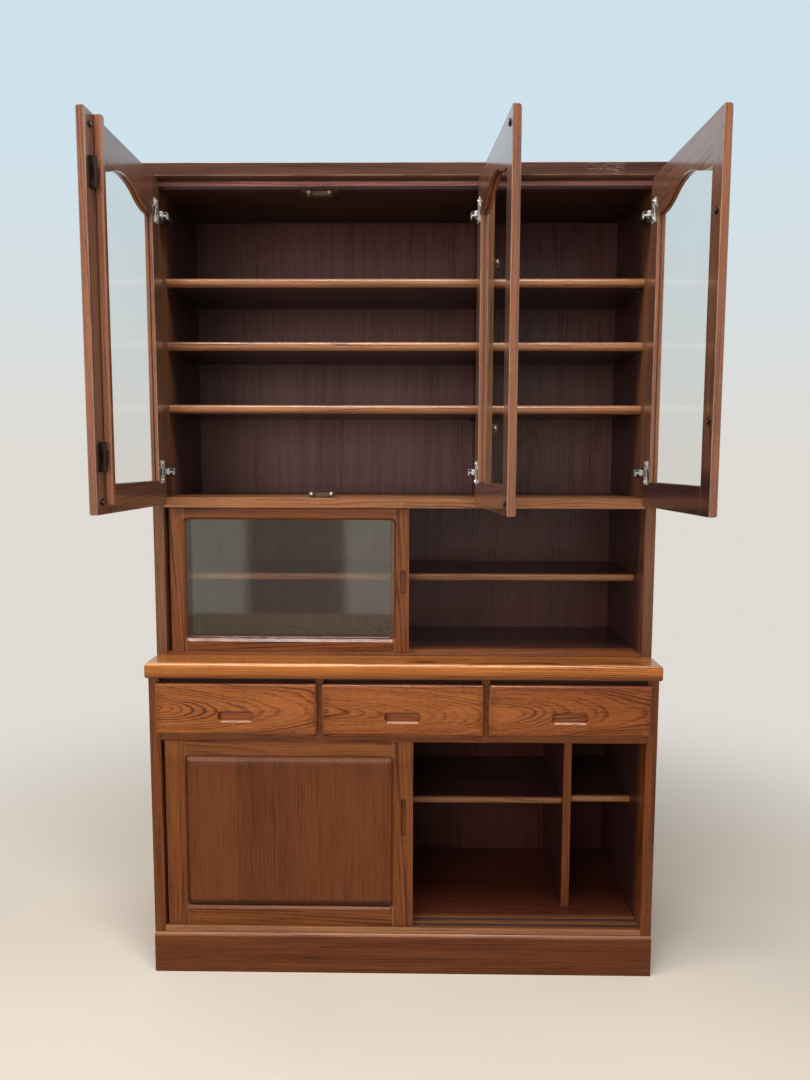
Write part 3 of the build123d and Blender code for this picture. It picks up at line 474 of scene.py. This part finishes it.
def separateBoards(source):
    # boards that touch share corners in the CAD mesh: give each its own, and list each one's vertices
    welded = bmesh.new()
    welded.from_mesh(source.data)
    welded.transform(source.matrix_world)
    bmesh.ops.remove_doubles(welded, verts=welded.verts, dist=0.000005)
    made, boardVerts, seen = bmesh.new(), [], set()
    for name in grainLayers:
        made.verts.layers.float_vector.new(name)
    for start in welded.faces:
        if start in seen:
            continue
        seen.add(start)
        queue, corners = [start], {}
        while queue:
            face = queue.pop()
            for vert in face.verts:
                if vert not in corners:
                    corners[vert] = made.verts.new(vert.co)
            made.faces.new([corners[vert] for vert in face.verts])
            for edge in face.edges:
                if len(edge.link_faces) == 2:
                    for other in edge.link_faces:
                        if other not in seen:
                            seen.add(other)
                            queue.append(other)
        boardVerts.append(list(corners.values()))
    welded.free()
    return made, boardVerts


def grainCoordinates(bm, boardVerts, turn, alongAxis, seed):
    # three attributes per board: seeded grain place, centred place and half size, all in the board's own axes
    dice = random.Random(seed)
    layers = [bm.verts.layers.float_vector[name] for name in grainLayers]
    spin = Matrix.Rotation(math.radians(-turn), 3, "Z")
    for verts in boardVerts:
        local = [spin @ vert.co for vert in verts]
        low = [min(p[i] for p in local) for i in range(3)]
        high = [max(p[i] for p in local) for i in range(3)]
        size = [high[i] - low[i] for i in range(3)]
        order = sorted(range(3), key=lambda i: -size[i])
        if alongAxis is not None:
            order.remove(alongAxis)
            order.insert(0, alongAxis)
        shift = (dice.uniform(-3, 3), dice.uniform(-0.03, 0.03), dice.uniform(-0.02, 0.02))
        flip = (dice.choice((-1, 1)), dice.choice((-1, 1)), 1)
        for vert, p in zip(verts, local):
            spot = [p[i] - (low[i] + high[i]) / 2 for i in order]
            vert[layers[0]] = [spot[i] * flip[i] + shift[i] for i in range(3)]
            vert[layers[1]] = spot
            vert[layers[2]] = [size[i] / 2 for i in order]


def makePiece(name, bm, finish, ease, segments):
    # smooth faces between sharp corners, the corners rounded by the ease, in metres
    bmesh.ops.recalc_face_normals(bm, faces=bm.faces)
    mesh = bpy.data.meshes.new(name)
    bm.to_mesh(mesh)
    bm.free()
    mesh.materials.append(finishes[finish])
    mesh.shade_smooth()
    mesh.set_sharp_from_angle(angle=math.radians(32))
    piece = bpy.data.objects.new(name, mesh)
    bpy.context.collection.objects.link(piece)
    if ease:
        bevel = piece.modifiers.new("ease", "BEVEL")
        bevel.width = ease
        bevel.segments = segments
        bevel.limit_method = "ANGLE"
        bevel.angle_limit = math.radians(40)
    evened = piece.modifiers.new("evened", "WEIGHTED_NORMAL")
    evened.keep_sharp = True
    return piece


def eased(nodeName, finish, body, turn=0.0, alongAxis=None, ease=0.0008, segments=2):
    # stands in for a CAD node of boards
    bm, boardVerts = separateBoards(nodes[nodeName])
    grainCoordinates(bm, boardVerts, turn, alongAxis, nodeName)
    bmesh.ops.dissolve_limit(bm, angle_limit=math.radians(0.4), verts=bm.verts, edges=bm.edges)
    piece = makePiece(nodeName + "_eased", bm, finish, ease, segments)
    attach(piece, body)
    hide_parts(nodeName)


boards = {
    # node: (finish, slot, grain axis where it isn't the longest side, ease)
    "plinth": ("plinthWood", "case_wood", None, 0.0010),
    "lower_side_left": ("lowerSide", "case_wood", None, 0.0008),
    "lower_side_right": ("lowerSide", "case_wood", None, 0.0008),
    "lower_floor": ("sill", "case_wood", None, 0.0006),
    "lower_back": ("lowBackPanel", "case_wood", 2, 0.0),
    "lower_divider": ("divider", "case_wood", None, 0.0008),
    "lower_shelves": ("shelfEdge", "case_wood", 0, 0.0006),
    "drawer_deck": ("case", "case_wood", None, 0.0006),
    "drawer_dividers": ("case", "case_wood", 1, 0.0006),
    # the rails in the shaded recess under the counter take the painted shade of the insides
    "counter_rails": ("inside", "case_wood", None, 0.0006),
    "counter_top": ("counterTop", "counter_wood", None, 0.0008),
    "upper_side_left": ("upperSide", "case_wood", None, 0.0008),
    "upper_side_right": ("upperSide", "case_wood", None, 0.0008),
    "upper_back": ("backPanel", "case_wood", 2, 0.0),
    "upper_track": ("case", "case_wood", None, 0.0004),
    "mid_board": ("ledge", "case_wood", None, 0.0008),
    "middle_shelf": ("shelfEdge", "case_wood", 0, 0.0006),
    "upper_partition": ("partition", "case_wood", None, 0.0008),
    "upper_shelves": ("shelfEdge", "case_wood", 0, 0.0006),
    "top_board": ("crown", "case_wood", None, 0.0010),
    "stop_rails": ("rail", "case_wood", None, 0.0010),
}
for nodeName, (finish, slot, alongAxis, ease) in boards.items():
    eased(nodeName, finish, "root", alongAxis=alongAxis, ease=ease)
for side, door in hingedDoors.items():
    for part in ("stiles", "bottom_rail", "top_rail"):
        eased(side + "_door_" + part, door["finish"], side + "_door", turn=door["open"])
eased("flap_strip", "strip", "flap", turn=hingedDoors["left"]["open"], ease=0.0006)
for pair in ("front", "rear"):
    panelled, glazed = "panel_slider_" + pair, "glass_slider_" + pair
    eased(panelled + "_frame", "slider", panelled, ease=0.0016, segments=3)
    eased(panelled + "_panel", "panel", panelled, alongAxis=2, ease=0.0012)
    eased(glazed + "_frame", "slider", glazed, ease=0.0020, segments=3)
for side in ("left", "centre", "right"):
    eased("drawer_" + side + "_front", "drawer", "drawer_" + side, ease=0.0014)
    eased("drawer_" + side + "_box", "drawerBox", "drawer_" + side, ease=0.0006)
print("boards eased")

for nodeName, node in nodes.items():
    if nodeName.endswith("_glass"):
        node.data.materials.clear()
        node.data.materials.append(finishes["glass"])
# the shelf pins take steel's painted shade, the flap's fittings bronze
for nodeName, finish in {"shelf_pins": "shaded steel", "flap_plates": "bronze", "flap_arms": "bronze"}.items():
    nodes[nodeName].data.materials.clear()
    nodes[nodeName].data.materials.append(finishes[finish])


class Fitting:
    # blocks, rods, domes and turned shapes in millimetres, gathered into one eased piece

    def __init__(self, name, finish, slot, body, place=None, ease=0.3, segments=2):
        self.name, self.finish, self.slot, self.body = name, finish, slot, body
        self.place = place or (lambda x, y, z: Matrix.Translation(Vector((x, y, z)) / 1000))
        self.ease, self.segments = ease, segments
        self.bm = bmesh.new()

    def block(self, x, y, z):
        # each of x, y and z is a (from, to) pair
        middle = self.place(*[(pair[0] + pair[1]) / 2 for pair in (x, y, z)])
        size = [abs(pair[1] - pair[0]) / 1000 for pair in (x, y, z)]
        bmesh.ops.create_cube(self.bm, size=1.0, matrix=middle @ Matrix.Diagonal((*size, 1)))

    def rod(self, x, y, z, radius, length):
        # centred on the place, along Y
        turn = Matrix.Rotation(math.radians(-90), 4, "X")
        bmesh.ops.create_cone(self.bm, cap_ends=True, segments=28, radius1=radius / 1000,
                              radius2=radius / 1000, depth=length / 1000, matrix=self.place(x, y, z) @ turn)

    def dome(self, x, y, z, radius, depth):
        # flattened ball, its back half inside the rod that it ends
        stretch = Matrix.Diagonal((radius / 1000, depth / 1000, radius / 1000, 1))
        bmesh.ops.create_uvsphere(self.bm, u_segments=24, v_segments=16, radius=1.0,
                                  matrix=self.place(x, y, z) @ stretch)

    def lathe(self, x, z, profile, segments=32):
        # closed (radius, y) profile turned about the Y axis through x, z
        rings = []
        for step in range(segments):
            angle = 2 * math.pi * step / segments
            ring = [self.place(x + radius * math.cos(angle), y, z + radius * math.sin(angle))
                    for radius, y in profile]
            rings.append([self.bm.verts.new(corner.translation) for corner in ring])
        for one, two in zip(rings, rings[1:] + rings[:1]):
            for k in range(len(profile)):
                n = (k + 1) % len(profile)
                self.bm.faces.new((one[k], one[n], two[n], two[k]))

    def done(self, *replaced):
        piece = makePiece(self.name, self.bm, self.finish, self.ease / 1000, self.segments)
        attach(piece, self.body)
        if replaced:
            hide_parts(*replaced)


# sizes as shares of each screw's own head radius
screwLook = {"radius": 1.0, "height": 0.45, "slotWidth": 0.22, "slotLength": 1.35, "sides": 24, "seed": 7}
screwPoints = {}  # body: [(place, outward direction, head radius in metres)]


def addScrew(body, matrix, outward, radius):
    direction = (matrix.to_3x3() @ Vector(outward)).normalized()
    screwPoints.setdefault(body, []).append((matrix.translation.copy(), direction, radius / 1000))


def screwTool():
    # node group: a round screw head on every point, along its "outward" attribute, turned at random
    group = bpy.data.node_groups.new("screwHeads", "GeometryNodeTree")
    sockets = {"Points": "Geometry", "Radius": "Float", "Height": "Float", "Slot Width": "Float",
               "Slot Length": "Float", "Sides": "Int", "Seed": "Int", "Finish": "Material"}
    for name, kind in sockets.items():
        group.interface.new_socket(name, in_out="INPUT", socket_type="NodeSocket" + kind)
    group.interface.new_socket("Screws", in_out="OUTPUT", socket_type="NodeSocketGeometry")

    def add(kind, inputs, settings=None):
        node = group.nodes.new(kind)
        for key, value in (settings or {}).items():
            setattr(node, key, value)
        for key, value in inputs.items():
            if isinstance(value, bpy.types.NodeSocket):
                group.links.new(value, node.inputs[key])
            else:
                node.inputs[key].default_value = value
        return node

    given = group.nodes.new("NodeGroupInput").outputs
    head = add("GeometryNodeMeshCylinder", {"Vertices": given["Sides"], "Radius": given["Radius"],
                                            "Depth": given["Height"]})
    size = add("ShaderNodeCombineXYZ", {0: given["Slot Length"], 1: given["Slot Width"], 2: given["Height"]})
    bar = add("GeometryNodeMeshCube", {"Size": size.outputs[0]})
    # the bars start level with the head's top, so a cross that is cut in needs a smaller lift
    lift = add("ShaderNodeCombineXYZ", {0: 0.0, 1: 0.0, 2: given["Height"]})
    bars = [add("GeometryNodeTransform", {"Geometry": bar.outputs[0], "Translation": lift.outputs[0],
                                          "Rotation": (0.0, 0.0, math.radians(turn))}) for turn in (0, 90)]
    cut = add("GeometryNodeMeshBoolean", {0: head.outputs[0], 1: bars[0].outputs[0]},
              {"operation": "DIFFERENCE"})
    group.links.new(bars[1].outputs[0], cut.inputs[1])
    outward = add("GeometryNodeInputNamedAttribute", {"Name": "outward"}, {"data_type": "FLOAT_VECTOR"})
    scale = add("GeometryNodeInputNamedAttribute", {"Name": "headRadius"}, {"data_type": "FLOAT"})
    upright = add("FunctionNodeAlignRotationToVector", {"Vector": outward.outputs[0]}, {"axis": "Z"})
    chance = add("FunctionNodeRandomValue", {2: 0.0, 3: math.pi, "Seed": given["Seed"]},
                 {"data_type": "FLOAT"})
    twist = add("FunctionNodeAxisAngleToRotation", {"Axis": (0.0, 0.0, 1.0), "Angle": chance.outputs[1]})
    turned = add("FunctionNodeRotateRotation", {0: upright.outputs[0], 1: twist.outputs[0]},
                 {"rotation_space": "LOCAL"})
    spread = add("GeometryNodeInstanceOnPoints", {"Points": given["Points"], "Instance": cut.outputs[0],
                                                  "Rotation": turned.outputs[0], "Scale": scale.outputs[0]})
    real = add("GeometryNodeRealizeInstances", {0: spread.outputs[0]})
    painted = add("GeometryNodeSetMaterial", {"Geometry": real.outputs[0], "Material": given["Finish"]})
    result = group.nodes.new("NodeGroupOutput")
    group.links.new(painted.outputs[0], result.inputs[0])
    return group


def makeScrews(group, body, points):
    # every screw of one body as a plain mesh
    cloud = bpy.data.meshes.new(body + "_screw_points")
    cloud.from_pydata([place for place, outward, radius in points], [], [])
    cloud.attributes.new("outward", "FLOAT_VECTOR", "POINT")
    cloud.attributes.new("headRadius", "FLOAT", "POINT")
    # both are fetched by name, as a new attribute moves the ones before it
    for index, (place, outward, radius) in enumerate(points):
        cloud.attributes["outward"].data[index].vector = outward
        cloud.attributes["headRadius"].data[index].value = radius
    seeds = bpy.data.objects.new(body + "_screws", cloud)
    bpy.context.collection.objects.link(seeds)
    tool = seeds.modifiers.new("screws", "NODES")
    tool.node_group = group
    values = {"Radius": screwLook["radius"], "Height": screwLook["height"],
              "Slot Width": screwLook["slotWidth"], "Slot Length": screwLook["slotLength"],
              "Sides": screwLook["sides"], "Seed": screwLook["seed"], "Finish": finishes["nickel"]}
    for item in group.interface.items_tree:
        if item.in_out == "INPUT" and item.name in values:
            tool[item.identifier] = values[item.name]
    solid = bpy.data.meshes.new_from_object(seeds.evaluated_get(bpy.context.evaluated_depsgraph_get()))
    seeds.modifiers.remove(tool)
    seeds.data = solid
    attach(seeds, body)


# in mm: inside face, hinge axis, lowest edge and height of a hinged door, and where its cups sit
doorLook = {"inside": 65.0, "pivotIn": 10.0, "pivotY": 47.5, "bottom": 1128.0, "height": 739.5,
            "cupFromEdge": 22.5, "cupFromEnd": 77.0}
cupHeights = (doorLook["cupFromEnd"], doorLook["height"] - doorLook["cupFromEnd"])


def onDoor(side):
    # place in a closed door's own frame: x from the hinge edge, y = 0 the inside face, z from the bottom
    door = hingedDoors[side]
    edge, towards = door["edge"], door["towards"]
    pivotX = edge + towards * doorLook["pivotIn"]
    swing = Matrix.Translation((pivotX / 1000, doorLook["pivotY"] / 1000, 0)) @ Matrix.Rotation(
        math.radians(door["open"]), 4, "Z")
    offset = Vector((edge - pivotX, doorLook["inside"] - doorLook["pivotY"], doorLook["bottom"]))
    return lambda x, y, z: swing @ Matrix.Translation((offset + Vector((towards * x, y, z))) / 1000)


cupLook = {"flangeRadius": 18.5, "innerRadius": 16.2, "depth": 11.0, "plateHeight": 53.0, "plateWidth": 21.0,
           "thick": 1.2, "screw": 3.6, "mouth": 9.0, "bridge": 5.0}


def makeCups(side):
    # an open bowl, its link block and a plate in three blocks with a mouth for the hinge arm's nose
    x = doorLook["cupFromEdge"]
    high, wide, thick = cupLook["plateHeight"] / 2, cupLook["plateWidth"] / 2, cupLook["thick"]
    outer, inner, deep = cupLook["flangeRadius"], cupLook["innerRadius"], cupLook["depth"]
    mouth, plateFaces = cupLook["mouth"], (0.1, thick + 0.8)
    cups = Fitting(side + "_cups", "dull steel", "hinge_metal", side + "_door", onDoor(side), 0.2)
    plates = Fitting(side + "_cup_plates", "white nickel", "hinge_metal", side + "_door", onDoor(side), 0.35)
    for z in cupHeights:
        cups.lathe(x, z, ((outer, thick), (outer, 0.05), (inner + 1, 0.05), (inner + 1, -deep),
                          (inner, -deep), (inner, thick)))
        cups.rod(x, 0.4 - deep, z, inner + 0.5, 0.7)
        plates.block((x - wide, x + wide), plateFaces, (z + mouth, z + high))
        plates.block((x - wide, x + wide), plateFaces, (z - high, z - mouth))
        plates.block((x - wide, x + cupLook["bridge"]), plateFaces, (z - mouth, z + mouth))
        for lift in (-1, 1):
            screwPlace = onDoor(side)(x, thick + 1.4, z + lift * (high - 7))
            addScrew(side + "_door", screwPlace, (0, 1, 0), cupLook["screw"])
        cups.block((x - 6, x + 4), (-8, 3.0), (z - 7, z + 7))
    cups.done(side + "_door_hinge_cups")
    plates.done()


for side in hingedDoors:
    makeCups(side)

# in mm, from the hinge edge inwards and from the front back; baseX is the face each base is screwed to
armLook = {"fromEdge": 28.6, "noseWidth": 6.6, "noseFrom": 55.0, "frontY": 67.5, "brightTo": 80.0,
           "backY": 112.0, "width": 14.0, "height": 15.0, "wall": 2.2, "baseHeight": 24.0, "baseFrom": 88.0,
           "screw": 3.0, "screwY": 98.0, "baseX": {"left": -570.5, "centre": 185.0, "right": 570.5}}


def addArm(arms, noses, side, z):
    # a bright nose and open channel in front, the channel and its base on the case behind in painted shade
    edge, towards = hingedDoors[side]["edge"], hingedDoors[side]["towards"]
    near = edge + towards * armLook["fromEdge"]
    far = near + towards * armLook["width"]
    half, wall = armLook["height"] / 2, towards * armLook["wall"]
    front, bright, back = armLook["frontY"], armLook["brightTo"], armLook["backY"]
    noses.block((near, near + towards * armLook["noseWidth"]), (armLook["noseFrom"], front + 2),
                (z - half + 2, z + half - 1))
    noses.block((near, far), (front, bright), (z + 1.0, z + half))
    noses.block((near, far), (front, front + 3), (z - 2.0, z + half))
    for x in ((near, near + wall), (far - wall, far)):
        noses.block(x, (front, bright), (z - half, z + 2.0))
    arms.block((near + towards, far - towards), (bright - 6, back), (z - half + 1, z + half - 2))
    arms.block((armLook["baseX"][side], near + towards), (armLook["baseFrom"], back + 4),
               (z - armLook["baseHeight"] / 2, z + armLook["baseHeight"] / 2))
    middle = near + towards * armLook["width"] / 2
    screwPlace = Matrix.Translation(Vector((middle, armLook["screwY"], z + half - 1.6)) / 1000)
    addScrew("root", screwPlace, (0, 0, 1), armLook["screw"])


hingeArms = Fitting("hinge_arm_channels", "shaded steel", "hinge_metal", "root", ease=0.5)
armNoses = Fitting("hinge_arm_noses", "white nickel", "hinge_metal", "root", ease=0.7, segments=3)
for side in hingedDoors:
    for lift in cupHeights:
        addArm(hingeArms, armNoses, side, doorLook["bottom"] + lift)
hingeArms.done("hinge_arms")
armNoses.done()

# in mm: the double catches sit where the left and centre doors meet, the single ones on the partition
catchLook = {"meeting": -196.0, "offset": 23.5, "front": 86.0, "tip": 69.4, "plate": 84.0, "bar": 52.0,
             "depth": 20.0, "head": 4.6, "barrel": 7.0, "doubles": ((1852.5, 1843.5), (1144.0, 1152.0)),
             "single": 214.0, "singleHeights": (1687.5, 1308.0)}
catchBars = Fitting("catch_bars", "catch brown", "catch_brown", "root", ease=0.8, segments=3)
catchHeads = Fitting("catch_heads", "nickel", "catch_brown", "root")


def addCatchHead(x, z):
    # a short rod out of the bar with a half ball at its end
    front, dome, radius = catchLook["front"], catchLook["tip"] + 4, catchLook["head"]
    catchHeads.rod(x, (front + dome) / 2, z, radius, front - dome)
    catchHeads.dome(x, dome, z, radius, 4.0)


def makeCatches():
    middle, front = catchLook["meeting"], catchLook["front"]
    back = front + catchLook["depth"]
    halfPlate, halfBar, barrel = catchLook["plate"] / 2, catchLook["bar"] / 2, catchLook["barrel"]
    for seat, z in catchLook["doubles"]:
        away = 1 if z > seat else -1
        catchBars.block((middle - halfPlate, middle + halfPlate), (front, back), (seat, seat + away * 2.2))
        catchBars.block((middle - halfBar, middle + halfBar), (front, back), (seat, z + away * 3))
        for x in (middle - catchLook["offset"], middle + catchLook["offset"]):
            catchBars.rod(x, front - 2, z, barrel, 18.0)
            catchBars.block((x - barrel, x + barrel), (front, back), (seat, z))
            addCatchHead(x, z)
    x = catchLook["single"]
    for z in catchLook["singleHeights"]:
        catchBars.block((x - barrel, x + barrel), (front, back), (z - 10, z + 10))
        addCatchHead(x, z)
    catchBars.done("catches")
    catchHeads.done()


makeCatches()

# in mm, on the doors' inner faces: how far from the hinge edge and how high each strike sits
strikeLook = {"radius": 7.0, "rim": 5.4, "thick": 2.2, "screw": 2.6,
              "left": ((367.5, 24.0), (367.5, 715.5)), "centre": ((367.5, 24.0), (367.5, 715.5)),
              "right": ((373.0, 180.0), (373.0, 559.5))}


def makeStrikes(side):
    thick = strikeLook["thick"]
    strikes = Fitting(side + "_strike_discs", "bronze", "dark_metal", side + "_door", onDoor(side))
    for x, z in strikeLook[side]:
        strikes.rod(x, thick / 2, z, strikeLook["radius"], thick)
        strikes.rod(x, thick + 0.3, z, strikeLook["rim"], 0.8)
        addScrew(side + "_door", onDoor(side)(x, thick + 0.25, z), (0, 1, 0), strikeLook["screw"])
    strikes.done(side + "_door_strikes")


for side in hingedDoors:
    makeStrikes(side)
screwHeads = screwTool()
for body, points in screwPoints.items():
    makeScrews(screwHeads, body, points)

room = {
    "floor": (0.66, 0.58, 0.48), "wallHigh": (0.62, 0.76, 0.84), "wallLow": (0.74, 0.71, 0.66),
    "worldLight": (0.92, 0.96, 1.0), "worldPower": 0.45,
    "keyPower": 120.0, "keyPlace": (-0.3, -0.85, 3.7), "keySize": (2.6, 0.5), "keyAim": (0.0, 0.1, 0.9),
    "fillPower": 60.0, "fillPlace": (-1.3, -3.6, 1.7), "fillSize": (2.2, 1.8), "fillAim": (0.0, 0.2, 1.0),
    "reach": 4.4, "floorMirrored": (0.26, 0.19, 0.12), "farFloorMirrored": (0.48, 0.36, 0.28),
    "behind": (0.74, 0.70, 0.62), "doorway": (-0.21, -0.087), "doorwayDark": (0.30, 0.24, 0.21),
}


def seenDirectly(mat):
    # 1 for what the camera, a mirror or glass sees
    camera, glossy, through = [mat.node("ShaderNodeLightPath", out=name) for name in (
        "Is Camera Ray", "Is Glossy Ray", "Is Transmission Ray")]
    return mat.most(mat.most(camera, glossy), through)


def makeFloor():
    mat = Finish("floorFinish")
    place = mat.node("ShaderNodeTexCoord", out=3)
    x, y, _ = mat.split(place)
    far = mat.step((x * x + y * y) ** 0.5, 0.8, 2.6)
    lit = mat.node("ShaderNodeBsdfPrincipled", {}, {"Base Color": (*room["floor"], 1), "Roughness": 0.75,
                                                    "Specular IOR Level": 0.2})
    mirrored = mat.node("ShaderNodeLightPath", out="Is Glossy Ray")
    floorMirrored = mat.mix(mat.step(y, -3.6, -2.2), (*room["farFloorMirrored"], 1),
                            (*room["floorMirrored"], 1))
    colour = mat.mix(mirrored, (*room["wallLow"], 1), floorMirrored)
    glow = mat.node("ShaderNodeEmission", {}, {"Color": colour, "Strength": 1.0})
    share = mat.most(far * seenDirectly(mat), mirrored)
    mat.finishWith(mat.node("ShaderNodeMixShader", {}, {0: share, 1: lit, 2: glow}))
    mesh = bpy.data.meshes.new("floor")
    reach = room["reach"]
    mesh.from_pydata([(-reach, -reach, 0), (reach, -reach, 0), (reach, reach, 0), (-reach, reach, 0)], [],
                     [(0, 1, 2, 3)])
    mesh.materials.append(mat.material)
    floor = bpy.data.objects.new("floor", mesh)
    bpy.context.collection.objects.link(floor)


def makeWorld():
    world = bpy.data.worlds.new("room")
    bpy.context.scene.world = world
    mat = Finish("room", world, "ShaderNodeOutputWorld")
    sideways, ahead, up = mat.split(mat.node("ShaderNodeTexCoord", out=0))
    wallColour = mat.ramp(up, [(0.0, room["wallLow"]), (0.35, room["wallHigh"])])
    # the dimmer side of the room with a dark doorway, which only the panes and the varnish mirror
    slant = sideways / (0.0 - ahead)
    left, right = room["doorway"]
    pastLeft = mat.step(slant, left - 0.01, left + 0.01)
    doorway = pastLeft * mat.step(slant, right - 0.01, right + 0.01, 1.0, 0.0)
    mirrored = mat.step(ahead, -0.3, 0.1, 1.0, 0.0) * mat.node("ShaderNodeLightPath", out="Is Glossy Ray")
    wallColour = mat.mix(mirrored, wallColour, (*room["behind"], 1))
    wallColour = mat.mix(doorway * mirrored, wallColour, (*room["doorwayDark"], 1))
    light = mat.node("ShaderNodeBackground", {}, {0: (*room["worldLight"], 1), 1: room["worldPower"]})
    wall = mat.node("ShaderNodeBackground", {}, {0: wallColour, 1: 1.0})
    mat.finishWith(mat.node("ShaderNodeMixShader", {}, {0: seenDirectly(mat), 1: light, 2: wall}))


def makeLamp(name):
    lamp = bpy.data.lights.new(name, "AREA")
    lamp.shape = "RECTANGLE"
    lamp.size, lamp.size_y = room[name + "Size"]
    lamp.energy = room[name + "Power"]
    obj = bpy.data.objects.new(name, lamp)
    obj.location = room[name + "Place"]
    obj.visible_glossy = name == "key"  # the fill isn't mirrored
    aim = Vector(room[name + "Aim"]) - obj.location
    obj.rotation_euler = aim.to_track_quat("-Z", "Y").to_euler()
    bpy.context.collection.objects.link(obj)


cameraLook = {"place": (0.0287, -1.8495, 1.2330), "pitch": 5.61, "yaw": 0.75, "roll": 0.15, "lens": 27.03}


def makeCamera():
    place = Vector(cameraLook["place"])
    pitch, yaw, roll = (math.radians(cameraLook[name]) for name in ("pitch", "yaw", "roll"))
    ahead = Vector((-math.sin(yaw) * math.cos(pitch), math.cos(yaw) * math.cos(pitch), -math.sin(pitch)))
    level = Vector((math.cos(yaw), math.sin(yaw), 0))
    upright = level.cross(ahead)
    right = level * math.cos(roll) + upright * math.sin(roll)
    up = upright * math.cos(roll) - level * math.sin(roll)
    lens = bpy.data.cameras.new("camera")
    lens.lens = cameraLook["lens"]
    lens.sensor_width = 36.0
    lens.clip_start = 0.05
    camera = bpy.data.objects.new("camera", lens)
    camera.matrix_world = Matrix((
        (right.x, up.x, -ahead.x, place.x), (right.y, up.y, -ahead.y, place.y),
        (right.z, up.z, -ahead.z, place.z), (0, 0, 0, 1)))
    bpy.context.collection.objects.link(camera)
    bpy.context.scene.camera = camera


makeFloor()
makeWorld()
makeLamp("key")
makeLamp("fill")
makeCamera()
bpy.context.scene.view_settings.view_transform = "Standard"
print("floor, light and camera made")
